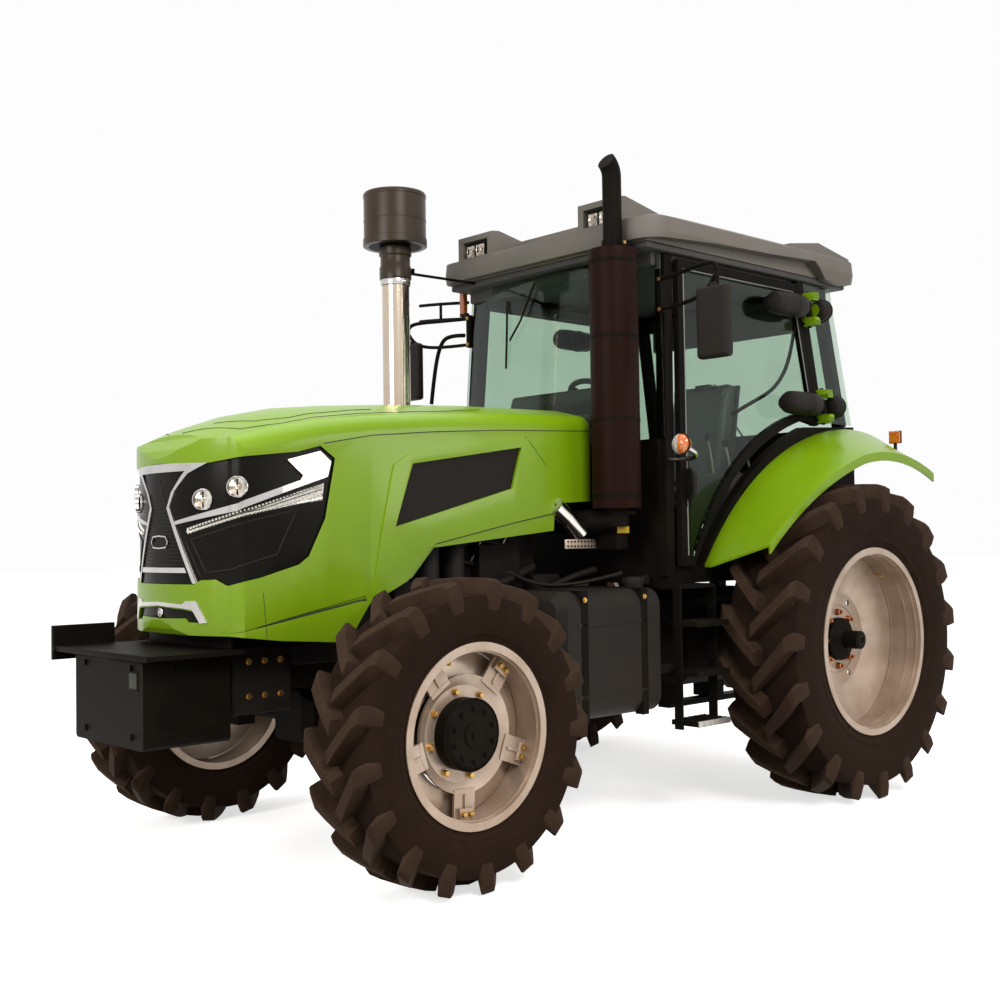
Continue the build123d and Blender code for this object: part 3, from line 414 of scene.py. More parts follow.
# profile holds (y, z) points; the prism runs along X
def prism(profile, near, far, bevel=0.003, segments=2):
    shape = bmesh.new()
    face = shape.faces.new([shape.verts.new((near, y, z)) for y, z in profile])
    grown = bmesh.ops.extrude_face_region(shape, geom=[face])["geom"]
    bmesh.ops.translate(shape, vec=(far - near, 0, 0),
                        verts=[g for g in grown if isinstance(g, bmesh.types.BMVert)])
    bevelled(shape, bevel, segments)
    return meshOf(shape)


# the whole turn in equal steps
def turns(sides):
    return [2 * math.pi * step / sides for step in range(sides)]


# profile holds (along, radius) points; the axis is X, and a radius of 0 closes an end
def lathe(profile, sides=64, closed=False, sharp=0.6):
    shape = bmesh.new()
    rings = []
    for along, radius in profile:
        circle = turns(sides) if radius else [0]
        rings.append([shape.verts.new((along, radius * math.cos(a), radius * math.sin(a))) for a in circle])
    for first, second in zip(rings, rings[1:] + (rings[:1] if closed else [])):
        for step in range(sides):
            after = (step + 1) % sides
            corners = [first[step % len(first)], first[after % len(first)],
                       second[after % len(second)], second[step % len(second)]]
            corners = [c for i, c in enumerate(corners) if c not in corners[:i]]
            if len(corners) > 2:
                shape.faces.new(corners)
    return meshOf(shape, sharp)


# a lathe standing on Z: profile holds (z, radius) points
def upright(profile, x, y, sides=48):
    return moved(lathe(profile, sides), shift(x, y, 0) @ turn(-90, "Y"))


def smoothPath(points, steps=8):
    curve = bpy.data.curves.new("path", "CURVE")
    curve.dimensions = "3D"
    curve.resolution_u = steps
    line = curve.splines.new("NURBS")
    line.points.add(len(points) - 1)
    for point, place in zip(line.points, points):
        point.co = (*place, 1)
    line.order_u = min(3, len(points))
    line.use_endpoint_u = True
    holder = bpy.data.objects.new("path", curve)
    mesh = bpy.data.meshes.new_from_object(holder)
    track = [vertex.co.copy() for vertex in mesh.vertices]
    bpy.data.objects.remove(holder)
    bpy.data.curves.remove(curve)
    bpy.data.meshes.remove(mesh)
    return track


def tube(points, radius, sides=16, smooth=True):
    track = smoothPath(points) if smooth and len(points) > 2 else [Vector(point) for point in points]
    shape = bmesh.new()
    side = (track[1] - track[0]).normalized().orthogonal().normalized()
    rings = []
    for number, place in enumerate(track):
        ahead = track[min(number + 1, len(track) - 1)] - place
        behind = place - track[max(number - 1, 0)]
        along = (ahead.normalized() + behind.normalized()).normalized()
        side = (side - along * side.dot(along)).normalized()
        other = along.cross(side)
        rings.append([shape.verts.new(place + radius * (side * math.cos(a) + other * math.sin(a)))
                      for a in turns(sides)])
    for first, second in zip(rings, rings[1:]):
        for step in range(sides):
            after = (step + 1) % sides
            shape.faces.new([first[step], first[after], second[after], second[step]])
    shape.faces.new(rings[0])
    shape.faces.new(rings[-1])
    return meshOf(shape)


# a turned hexagon head with a rounded top; its axis is X
def hexBolt(across, height, x, radius, angle=0):
    head = lathe([(0, 0), (0, across * 0.62), (height * 0.2, across * 0.62), (height * 0.2, across * 0.5),
                  (height * 0.86, across * 0.5), (height, across * 0.43), (height, 0)], 6, sharp=0.3)
    return moved(head, turn(angle, "X"), shift(x, 0, radius))


# a hexagon head on a washer; facing is the way the head points
def bolt(place, facing, radius=0.009, height=0.007):
    aim = Vector((1, 0, 0)).rotation_difference(Vector(facing)).to_matrix().to_4x4()
    washer = 0.0015
    head = lathe([(0, 0), (0, radius * 1.35), (washer, radius * 1.35), (washer, radius),
                  (height, radius * 0.96),
                  (height, 0)], 6, sharp=0.3)
    return moved(head, shift(*place) @ aim)


# trees of nodes that repeat a shape
def startTree(name, *inputs):
    tree = bpy.data.node_groups.new(name, "GeometryNodeTree")
    for label, kind in (("Geometry", "Geometry"), *inputs, ("Finish", "Material")):
        tree.interface.new_socket(label, in_out="INPUT", socket_type="NodeSocket" + kind)
    tree.interface.new_socket("Geometry", in_out="OUTPUT", socket_type="NodeSocketGeometry")
    return tree, tree.nodes.new("NodeGroupInput").outputs


def endTree(tree, given, copies):
    real = added(tree, "GeometryNodeRealizeInstances", {0: copies.outputs[0]})
    paint = added(tree, "GeometryNodeSetMaterial", {"Geometry": real.outputs[0], "Material": given["Finish"]})
    added(tree, "NodeGroupOutput", {0: paint.outputs[0]})
    return tree


def ringTree():
    tree, given = startTree("ringOfCopies", ("Count", "Int"), ("Step", "Vector"))
    line = added(tree, "GeometryNodeMeshLine", {"Count": given["Count"], "Offset": (0, 0, 0)})
    number = tree.nodes.new("GeometryNodeInputIndex").outputs[0]
    scaled = added(tree, "ShaderNodeVectorMath", {0: given["Step"], "Scale": number}, operation="SCALE")
    return endTree(tree, given, added(tree, "GeometryNodeInstanceOnPoints", {
        "Points": line.outputs["Mesh"], "Instance": given["Geometry"], "Rotation": scaled.outputs[0]}))


def rowTree():
    tree, given = startTree("rowOfCopies", ("Count", "Int"), ("Step", "Vector"))
    line = added(tree, "GeometryNodeMeshLine", {"Count": given["Count"], "Offset": given["Step"]})
    return endTree(tree, given, added(tree, "GeometryNodeInstanceOnPoints", {
        "Points": line.outputs["Mesh"], "Instance": given["Geometry"]}))


def pathTree():
    tree, given = startTree("copiesAlongPath", ("Path", "Object"), ("Count", "Int"), ("Facing", "Vector"))
    path = added(tree, "GeometryNodeObjectInfo", {"Object": given["Path"]})
    line = added(tree, "GeometryNodeMeshToCurve", {0: path.outputs["Geometry"]})
    points = added(tree, "GeometryNodeCurveToPoints", {"Curve": line.outputs[0], "Count": given["Count"]})
    along = added(tree, "FunctionNodeAlignRotationToVector", {"Vector": points.outputs["Tangent"]}, axis="X")
    facing = added(tree, "FunctionNodeAlignRotationToVector",
                   {"Rotation": along.outputs[0], "Vector": given["Facing"]}, axis="Y", pivot_axis="X")
    return endTree(tree, given, added(tree, "GeometryNodeInstanceOnPoints", {
        "Points": points.outputs["Points"], "Instance": given["Geometry"], "Rotation": facing.outputs[0]}))


trees = {"ring": ringTree(), "row": rowTree(), "path": pathTree()}


def evaluated(holder):
    bpy.context.view_layer.update()
    return bpy.data.meshes.new_from_object(holder.evaluated_get(bpy.context.evaluated_depsgraph_get()))


# a shape with its finish, repeated by one of the trees
def repeated(mesh, kind, look, **values):
    holder = bpy.data.objects.new("copies", mesh)
    bpy.context.scene.collection.objects.link(holder)
    modifier = holder.modifiers.new("copies", "NODES")
    modifier.node_group = trees[kind]
    for item in trees[kind].interface.items_tree:
        if item.in_out == "INPUT" and item.name in values:
            modifier[item.identifier] = values[item.name]
        elif item.name == "Finish":
            modifier[item.identifier] = made[look]
    result = evaluated(holder)
    bpy.data.objects.remove(holder)
    return result, look


# copies evenly round X
def ring(mesh, count, look):
    return repeated(mesh, "ring", look, Count=count, Step=(2 * math.pi / count, 0, 0))


# copies each moved on by a step
def row(mesh, count, step, look):
    return repeated(mesh, "row", look, Count=count, Step=step)


# copies whose X follows the track and whose Y faces the given way
def alongPath(mesh, track, count, facing, look):
    line = bpy.data.meshes.new("track")
    line.from_pydata(track, [(i, i + 1) for i in range(len(track) - 1)], [])
    guide = bpy.data.objects.new("track", line)
    bpy.context.scene.collection.objects.link(guide)
    result = repeated(mesh, "path", look, Path=guide, Count=count, Facing=facing)
    bpy.data.objects.remove(guide)
    return result


# shapes are (mesh, finish) pairs; these give lists of them
def painted(look, *meshes):
    return [(mesh, look) for mesh in meshes]


def placed(shapes, *matrices):
    return [(moved(mesh, *matrices), look) for mesh, look in shapes]


def mirroredAll(shapes):
    return [(mirrored(mesh), look) for mesh, look in shapes]


def bothSides(shapes):
    return shapes + mirroredAll(shapes)


# brings shapes measured from the front axle into the frame
def here(shapes):
    return placed(shapes, shift(0, frontY, 0))


# joins shapes into one piece that rides on a body
def build(name, body, shapes):
    total = bmesh.new()
    looks = []
    for mesh, look in shapes:
        if look not in looks:
            looks.append(look)
        first = len(total.faces)
        total.from_mesh(mesh)
        total.faces.ensure_lookup_table()
        for face in total.faces[first:]:
            face.material_index = looks.index(look)
    mesh = bpy.data.meshes.new(name)
    total.to_mesh(mesh)
    total.free()
    for look in looks:
        mesh.materials.append(made[look])
    piece = bpy.data.objects.new(name, mesh)
    bpy.context.scene.collection.objects.link(piece)
    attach(piece, body)
    return piece


# wheels: the axle's place, then sizes of the tyre and its lugs
wheels = {
    "front": {"x": 1.014, "y": 0.0, "radius": 0.645, "width": 0.355, "flange": 0.381, "rim": 0.305,
              "lug": 0.070, "count": 17, "root": 0.047, "crest": 0.034},
    "rear": {"x": 1.137, "y": 2.760, "radius": 0.860, "width": 0.455, "flange": 0.508, "rim": 0.395,
             "lug": 0.083, "count": 19, "root": 0.054, "crest": 0.040}}
# the sidewall's steps from bead to shoulder, those that carry a rib, and the crown's steps
tyreForm = {"wall": (0.06, 0.12, 0.13, 0.16, 0.17, 0.26, 0.38, 0.5, 0.62, 0.72, 0.82, 0.90, 0.95, 0.985),
            "ribs": (0.13, 0.16), "rib": 0.0022, "crown": (0.72, 0.48, 0.24, 0), "crownRise": 0.004,
            "shoulder": 0.034, "sides": 144, "chamfer": 0.005, "bend": 0.012}


def tyreCarcass(size):
    half, bead, rim = size["width"] / 2, size["flange"] - 0.025, size["rim"] / 2
    base = size["radius"] - size["lug"]
    bulge, rise = half - 0.004 - rim, base - size["flange"] - 0.006
    side = [(rim - 0.004, bead + 0.0005), (rim - 0.001, size["flange"] + 0.004)]
    for share in tyreForm["wall"]:
        curve = math.sin(share * math.pi) if share < 0.5 else 1 - 0.55 * ((share - 0.5) / 0.5) ** 3
        rib = tyreForm["rib"] if share in tyreForm["ribs"] else 0
        side.append((rim + bulge * curve + rib, size["flange"] + 0.006 + rise * share))
    side.append((half - tyreForm["shoulder"], base - 0.001))
    side += [(half * step, base + tyreForm["crownRise"] * (1 - step * step)) for step in tyreForm["crown"]]
    profile = side + [(-x, r) for x, r in reversed(side[:-1])]
    return lathe(profile, tyreForm["sides"], closed=True, sharp=0.9)


def tyreLug(size):
    half, base, top = size["width"] / 2, size["radius"] - size["lug"], size["radius"]
    nose = -0.04 * size["width"]
    chamfer = tyreForm["chamfer"]
    # x and radius at the root, x and radius at the crest, share of the lug's width
    stations = [(nose, base - 0.012, nose + 0.006, top - 0.002, 0.94),
                (half * 0.30, base - 0.012, half * 0.30, top, 1),
                (half * 0.62, base - 0.012, half * 0.62, top, 1.04),
                (half * 0.80, base - 0.022, half * 0.86, top, 1.12),
                (half * 0.83, base - 0.040, half * 0.955, top - 0.014, 1.16),
                (half * 0.86, base - 0.060, half - 0.0005, base + 0.012, 1.16),
                (half * 0.88, base - 0.085, half - 0.0015, base - 0.035, 1.08),
                (half * 0.90, base - 0.110, half - 0.008, base - 0.085, 0.98)]
    shape = bmesh.new()
    rings = []
    for rootX, rootR, crestX, crestR, share in stations:
        middle = min(crestX, half * 0.93) - (half + nose) / 2 + tyreForm["bend"] * (crestX / half) ** 4
        shoulderX = crestX - 0.12 * (crestX - rootX)
        section = ((rootX, rootR, -size["root"]), (shoulderX, crestR - chamfer, -size["crest"]),
                   (crestX, crestR, chamfer - size["crest"]), (crestX, crestR, size["crest"] - chamfer),
                   (shoulderX, crestR - chamfer, size["crest"]), (rootX, rootR, size["root"]))
        points = []
        for x, r, offset in section:
            angle = (middle + offset * share) / size["radius"]
            points.append(shape.verts.new((x, r * math.sin(angle), r * math.cos(angle))))
        rings.append(points)
    for first, second in zip(rings, rings[1:]):
        for step in range(6):
            after = (step + 1) % 6
            shape.faces.new([first[step], first[after], second[after], second[step]])
    shape.faces.new(rings[0])
    shape.faces.new(rings[-1])
    return meshOf(shape, 0.5)


# a carcass and its lugs, in pairs of a left one and a right one half a step on
def tyreShapes(size):
    lug = tyreLug(size)
    pair = bmesh.new()
    pair.from_mesh(lug)
    pair.from_mesh(moved(mirrored(lug), turn(-180 / size["count"], "X")))
    both = bpy.data.meshes.new("pair")
    pair.to_mesh(both)
    pair.free()
    return painted("tyreRubber", tyreCarcass(size)) + [ring(shaded(both, 0.5), size["count"], "tyreTread")]


# a thin band round the wheel, from x over a width, with its outer radius and its depth
def beadRing(x, radius, wide, deep, sides):
    return lathe([(x, radius), (x + wide, radius + 0.001), (x + wide, radius - deep), (x, radius - deep)],
                 sides, closed=True)


frontTrim = {"bolts": 8, "boltRing": 0.178, "clamps": 5, "clampTurn": -38, "clampBolts": (-3.4, 3.4),
             "hubBolts": 10, "hubRing": 0.108, "valveTurn": 22,
             "clamp": ([(-0.040, 0.300), (0.040, 0.300), (0.034, 0.352), (-0.034, 0.352)], 0.070, 0.088, 0.004),
             "rib": ([(-0.006, 0.246), (0.006, 0.246), (0.006, 0.300), (-0.006, 0.300)], 0.0705, 0.080, 0.002),
             "hubLip": [(0.104, 0.1515), (0.112, 0.1515), (0.114, 0.146), (0.104, 0.146)],
             "cap": [(0.124, 0.052), (0.131, 0.050), (0.133, 0.040), (0.131, 0.018), (0.137, 0.016),
                     (0.138, 0)],
             "beads": ((0.1545, 0.3815, 0.005), (0.135, 0.3465, 0.006)),
             "dish": [(0.030, 0.238), (0.026, 0.290), (0.010, 0.345), (0.002, 0.345), (0.018, 0.288),
                      (0.022, 0.238)],
             "valve": [(0.060, 0, 0.335), (0.085, 0, 0.330), (0.110, 0, 0.322)],
             "valveCap": [(0, 0), (0, 0.008), (0.016, 0.008), (0.020, 0.005), (0.020, 0)]}


def frontWheelTrim():
    trim = frontTrim
    first, clamps = turn(trim["clampTurn"], "X"), trim["clamps"]
    shapes = [ring(hexBolt(0.026, 0.020, 0.050, trim["boltRing"], 12), trim["bolts"], "yellowZinc"),
              ring(moved(prism(*trim["clamp"]), first), clamps, "silverPaint")]
    for lean in trim["clampBolts"]:
        shapes.append(ring(hexBolt(0.024, 0.016, 0.087, 0.325, trim["clampTurn"] + lean), clamps, "yellowZinc"))
    shapes += [ring(moved(prism(*trim["rib"]), first), clamps, "silverPaint"),
               ring(hexBolt(0.020, 0.012, 0.124, trim["hubRing"]), trim["hubBolts"], "blackPaint")]
    shapes += painted("blackPaint", lathe(trim["hubLip"], 72, closed=True), lathe(trim["cap"], 40))
    shapes += painted("silverPaint", *[beadRing(*bead, 0.006, 96) for bead in trim["beads"]],
                      lathe(trim["dish"], 96, closed=True))
    stem = painted("yellowZinc", tube(trim["valve"], 0.0045, 10))
    cap = painted("yellowPlastic", moved(lathe(trim["valveCap"], 16), shift(0.106, 0, 0.3225)))
    return shapes + placed(stem + cap, turn(trim["valveTurn"], "X"))


rearTrim = {"studs": 8, "studRing": 0.150, "hubRing": 0.088, "valveTurn": -38,
            "stud": [(0, 0), (0, 0.019), (0.006, 0.019), (0.006, 0.0165), (0.024, 0.0165), (0.026, 0.013),
                     (0.026, 0.009), (0.040, 0.009), (0.042, 0.006), (0.042, 0)],
            "discEdge": [(-0.0395, 0.192), (-0.036, 0.190), (-0.036, 0.186), (-0.0395, 0.184)],
            "weld": [(0.0205, 0.478), (0.0275, 0.4775), (0.028, 0.472), (0.021, 0.470)],
            "beads": ((0.1995, 0.5085, 0.005), (0.176, 0.4735, 0.007), (0.120, 0.4735, 0.006)),
            "axleEnd": [(0.1105, 0.036), (0.1155, 0.034), (0.1165, 0.020), (0.1105, 0.018)],
            "valve": [(0.030, 0, 0.452), (0.060, 0, 0.446), (0.092, 0, 0.436)]}


def rearWheelTrim():
    trim = rearTrim
    stud = moved(lathe(trim["stud"], 12, sharp=0.4), shift(-0.040, 0, trim["studRing"]))
    shapes = [ring(stud, trim["studs"], "copperPlate")]
    shapes += painted("silverPaint", lathe(trim["discEdge"], 80, closed=True),
                      lathe(trim["weld"], 120, closed=True),
                      *[beadRing(*bead, 0.007, 120) for bead in trim["beads"]])
    shapes += painted("castIron", lathe(trim["axleEnd"], 32, closed=True))
    shapes.append(ring(hexBolt(0.022, 0.014, -0.012, trim["hubRing"]), trim["studs"], "blackPaint"))
    stem = painted("yellowZinc", tube(trim["valve"], 0.005, 10))
    return shapes + placed(stem, turn(trim["valveTurn"], "X"))


def copied(shapes, *matrices):
    return [(moved(mesh.copy(), *matrices), look) for mesh, look in shapes]


wheelTrim = {"front": frontWheelTrim(), "rear": rearWheelTrim()}
for end, size in wheels.items():
    tyre = tyreShapes(size)
    for side, sign in (("left", 1), ("right", -1)):
        place = shift(sign * size["x"], size["y"] + frontY, size["radius"]) @ Matrix.Diagonal((sign, 1, 1, 1))
        body = f"{end}_{side}_wheel"
        piece = build(f"{end}{side.title()}Tyre", body, copied(tyre, place))
        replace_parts(piece, f"{end}_{side}_tyre")
        build(f"{end}{side.title()}WheelTrim", body, copied(wheelTrim[end], place))
print("wheels dressed")

# places on the bonnet's surface, found by rays
skins = {}
bonnetNodes = ("hood", "hood_mask", "hood_trim", "hood_vents", "headlamps")
toCorner = Vector((1, -1, 0)).normalized()  # the way the headlamps face


# where a ray first meets any of the nodes, and the surface's normal there
def onSkin(nodeNames, start, direction):
    best = None
    for name in nodeNames:
        if name not in skins:
            skins[name] = BVHTree.FromObject(nodes[name], bpy.context.evaluated_depsgraph_get())
        place, normal, _, distance = skins[name].ray_cast(Vector(start), Vector(direction))
        if place is not None and (best is None or distance < best[2]):
            best = (place, normal if normal.dot(Vector(direction)) < 0 else -normal, distance)
    return best[0], best[1]


# u runs along (1, 1) in plan from the front axle's middle
def cornerPoint(u, z):
    start = Vector((u / math.sqrt(2), u / math.sqrt(2) + frontY, z)) + toCorner * 1.6
    return onSkin(bonnetNodes, start, -toCorner)


def sidePoint(y, z):
    return onSkin(bonnetNodes, (1.5, y + frontY, z), (-1, 0, 0))


def frontPoint(x, z):
    return onSkin(bonnetNodes, (x, -3.2, z), (0, 1, 0))


def topPoint(x, y):
    return onSkin(bonnetNodes, (x, y + frontY, 3), (0, 0, -1))


def divided(points, step):
    result = []
    for first, second in zip(points, points[1:]):
        parts = max(1, round((Vector(second) - Vector(first)).length / step))
        result += [Vector(first).lerp(Vector(second), part / parts) for part in range(parts)]
    return result + [Vector(points[-1])]


# the surface's points under a line, at most a step apart, raised by a lift
def trackOn(finder, points, step, lift):
    track = []
    for point in divided([(a, b, 0) for a, b in points], step):
        place, normal = finder(point.x, point.y)
        track.append(place + normal * lift)
    return track


# a fine round bead along the surface, half sunk in it
def seam(finder, points, radius, lift=0.0, step=0.03):
    return tube(trackOn(finder, points, step, lift), radius, 8, smooth=False)


# seams pressed in the bonnet: finder, radius, points
bonnetLines = {
    "lidSide": (sidePoint, 0.0019, [(-0.275, 1.873), (-0.02, 1.919), (0.321, 1.950), (0.766, 1.979),
                                    (1.395, 2.003)]),
    "bumperJoint": (sidePoint, 0.0013, [(-0.575, 1.235), (-0.56, 1.045)]),
    "slash": (sidePoint, 0.0055, [(-0.60, 1.092), (-0.33, 1.139), (-0.06, 1.186)]),
    "rearPanel": (sidePoint, 0.0013, [(0.93, 1.955), (1.09, 1.79), (1.12, 1.64)]),
    "flareEdge": (sidePoint, 0.0019, [(1.11, 1.566), (0.85, 1.524), (0.342, 1.426), (0.287, 1.389),
                                      (0.20, 1.290)]),
    "crownInner": (topPoint, 0.0019, [(0.12, -0.60), (0.30, -0.50), (0.345, -0.36), (0.33, 0.10)]),
    "crownOuter": (topPoint, 0.0019, [(0.06, -0.72), (0.34, -0.60), (0.40, -0.44), (0.405, 0.42),
                                      (0.36, 0.75)])}
seams = [seam(finder, points, radius, 0.0004) for finder, radius, points in bonnetLines.values()]
build("bonnetSeams", "bonnet", bothSides(painted("gapShadow", *seams)))

# lights in the mask: rows of small lenses, the joints between them, and two round lamps
headlamps = {
    "rows": ({"line": [(-0.405, 1.507), (-0.113, 1.590), (0.140, 1.690)], "count": 40, "size": 0.0125},
             {"line": [(-0.395, 1.494), (-0.06, 1.585), (0.142, 1.655)], "count": 38, "size": 0.0125},
             {"line": [(0.052, 1.612), (0.140, 1.634)], "count": 9, "size": 0.0115}),
    "joints": ([(-0.414, 1.498), (-0.113, 1.580), (0.150, 1.697)],
               [(-0.406, 1.484), (0.046, 1.605), (0.143, 1.624)],
               [(-0.35, 1.5145), (-0.08, 1.586), (0.14, 1.6725)]),
    "centres": ((0.288, -0.752, 1.630), (0.442, -0.680, 1.679)),
    "bezel": [(-0.012, 0.0455), (0.004, 0.0455), (0.006, 0.0435), (0.006, 0.041), (-0.010, 0.0405)],
    "bowl": [(-0.004, 0.0405), (-0.0005, 0.034), (0.0005, 0.022), (0.002, 0.020), (0.0025, 0.012),
             (0.006, 0.0105), (0.0085, 0.006), (0.009, 0)],
    "bar": ((0.0, -0.003, -0.034), (0.0055, 0.003, 0.034), 0.0015)}


def ledCell(size):
    cell = bmesh.new()
    low, high = size * 0.5, size * 0.22
    base, top = ([cell.verts.new((x, y, z)) for x, z in ((-half, -half), (half, -half), (half, half),
                                                         (-half, half))]
                 for y, half in ((-0.002, low), (0.0045, high)))
    cell.faces.new(base)
    cell.faces.new(top)
    for i in range(4):
        cell.faces.new([base[i], base[(i + 1) % 4], top[(i + 1) % 4], top[i]])
    return meshOf(cell, 0.3)


shapes = []
for line in headlamps["rows"]:
    track = trackOn(cornerPoint, line["line"], 0.02, 0.0005)
    shapes.append(alongPath(ledCell(line["size"]), track, line["count"], toCorner, "ledGlass"))
shapes += painted("gapShadow", *[seam(cornerPoint, line, 0.0016, 0.0015) for line in headlamps["joints"]])
outward = Vector((1, 0, 0)).rotation_difference(toCorner).to_matrix().to_4x4()
for x, y, z in headlamps["centres"]:
    lamp = painted("chromePlate", lathe(headlamps["bezel"], 48, closed=True))
    lamp += painted("reflector", lathe(headlamps["bowl"], 48)) + painted("blackPaint", block(*headlamps["bar"]))
    shapes += placed(lamp, Matrix.Translation(cornerPoint((x + y) / math.sqrt(2), z)[0]) @ outward)
build("headlampDetail", "bonnet", bothSides(shapes))

# grille slats between the bright frames, narrower upwards; the cheeks' lower frame; the bumper's lamp
grille = {"slats": 23, "low": 1.356, "step": 0.0165, "half": 0.215, "halfAt": 1.276, "taper": 0.47,
          "radius": 0.0032}
slats = []
for number in range(grille["slats"]):
    z = grille["low"] + grille["step"] * number
    reach = grille["half"] - (z - grille["halfAt"]) * grille["taper"]
    slats.append(seam(frontPoint, [(-reach, z), (reach, z)], grille["radius"], 0.0005, 0.04))
build("grilleSlats", "bonnet", painted("moulding", *slats))
mask = {"cavity": [(-0.389, 1.461), (0.046, 1.582), (-0.026, 1.394), (-0.200, 1.335), (-0.316, 1.321),
                   (-0.389, 1.461)],
        "edge": [(-0.415, 1.452), (-0.34, 1.300)], "lamp": (0.003, 1.150),
        "lens": [(0, 0), (0, 0.021), (0.005, 0.021), (0.007, 0.019), (0.007, 0.0165), (0.005, 0.016),
                 (0.0065, 0.009), (0.007, 0)]}
build("maskDetail", "bonnet", bothSides(painted(
    "moulding", seam(cornerPoint, mask["cavity"], 0.0045), seam(cornerPoint, mask["edge"], 0.004))))
lamp = moved(lathe(mask["lens"], 32), Matrix.Translation(frontPoint(*mask["lamp"])[0]) @ turn(-90, "Z"))
build("bumperLamp", "bonnet", painted("chromePlate", lamp))

# bonnet, fenders, mask and roof keep their solids' form, with rounded edges and the shading of skins
pressed = {
    "bonnetSkin": {"node": "hood", "look": "greenPaint", "slot": "green_paint", "edge": 0.009, "sharp": 0.8},
    "fenderSkin": {"node": "fenders", "look": "greenPaint", "slot": "green_paint", "edge": 0.004, "sharp": 0.5},
    "maskSkin": {"node": "hood_mask", "look": "maskBlack", "slot": "mask_black", "edge": 0.003, "sharp": 0.5},
    "roofSkin": {"node": "roof", "look": "roofMoulding", "slot": "roof_plastic", "edge": 0.014, "sharp": 0.5}}
merging = {"distance": 2e-5, "flat": 0.012, "crease": 0.32}  # metres and radians


def resurfaced(name, node, look, slot, edge, sharp):
    mesh = nodes[node].data.copy()
    shape = bmesh.new()
    shape.from_mesh(mesh)
    bmesh.ops.remove_doubles(shape, verts=shape.verts, dist=merging["distance"])
    bmesh.ops.dissolve_limit(shape, angle_limit=merging["flat"], verts=shape.verts, edges=shape.edges)
    creases = [line for line in shape.edges if line.is_manifold and line.calc_face_angle(0) > merging["crease"]]
    bmesh.ops.bevel(shape, geom=creases, offset=edge, segments=3, profile=0.6, affect="EDGES",
                    clamp_overlap=True)
    shape.to_mesh(mesh)
    shape.free()
    if "custom_normal" in mesh.attributes:
        mesh.attributes.remove(mesh.attributes["custom_normal"])
    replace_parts(build(name, nodes[node]["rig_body"], painted(look, shaded(mesh, sharp))), node)


for name, skin in pressed.items():
    resurfaced(name, **skin)

# woven mesh behind the side openings: its corners as (y, z), front low, rear low, front high, rear high
vent = {"low": [(0.112, 1.515), (0.832, 1.698)], "high": [(0.214, 1.790), (0.890, 1.890)], "uprights": 33,
        "crossings": 14, "radius": 0.0022}


# lines between two edges, evenly spaced and leaving out both ends
def woven(first, second, count, step):
    lines = []
    for number in range(1, count + 1):
        share = number / (count + 1)
        ends = [[a + (b - a) * share for a, b in zip(*edge)] for edge in (first, second)]
        lines.append(seam(sidePoint, ends, vent["radius"], 0.0, step))
    return painted("moulding", *lines)


front, rear = zip(vent["low"], vent["high"])
shapes = woven(vent["low"], vent["high"], vent["uprights"], 0.2) + woven(front, rear, vent["crossings"], 0.3)
build("ventMesh", "bonnet", bothSides(shapes))
print("bonnet dressed")

# under the nose: radiator, apron behind the bumper, castings and their bolts
nose = {"sheets": [((-0.35, -0.52, 1.02), (0.35, -0.42, 1.66), 0.008),
                   ((-0.36, -0.665, 1.0), (0.36, -0.650, 1.20), 0.003),
                   ((-0.36, -0.66, 0.985), (0.36, -0.30, 1.0), 0.003)],
        "castings": [((-0.262, -0.60, 0.70), (0.262, -0.30, 1.04), 0.02, 3),
                     ((-0.30, -0.30, 0.90), (0.30, 0.30, 1.06), 0.02)],
        "fin": ((-0.34, -0.526, 1.05), (-0.334, -0.518, 1.63), 0.0015), "fins": 38, "finStep": 0.018,
        "sideBolts": {"x": 0.262, "y": (-0.52, -0.44, -0.36), "z": (0.78, 0.93)},
        "frontBolts": {"x": 0.21, "y": -1.04, "z": (0.66, 0.94)}}
shapes = painted("blackPaint", *[block(*sheet) for sheet in nose["sheets"]])
shapes += painted("castIron", *[block(*casting) for casting in nose["castings"]])
shapes.append(row(block(*nose["fin"]), nose["fins"], (nose["finStep"], 0, 0), "moulding"))
side, front = nose["sideBolts"], nose["frontBolts"]
for sign in (1, -1):
    shapes += painted("yellowZinc", *[bolt((sign * side["x"], y, z), (sign, 0, 0), 0.012, 0.010)
                                      for y in side["y"] for z in side["z"]])
    shapes += painted("blackPaint", *[bolt((sign * front["x"], front["y"], z), (0, -1, 0), 0.014, 0.011)
                                      for z in front["z"]])
build("noseStructure", "root", here(shapes))

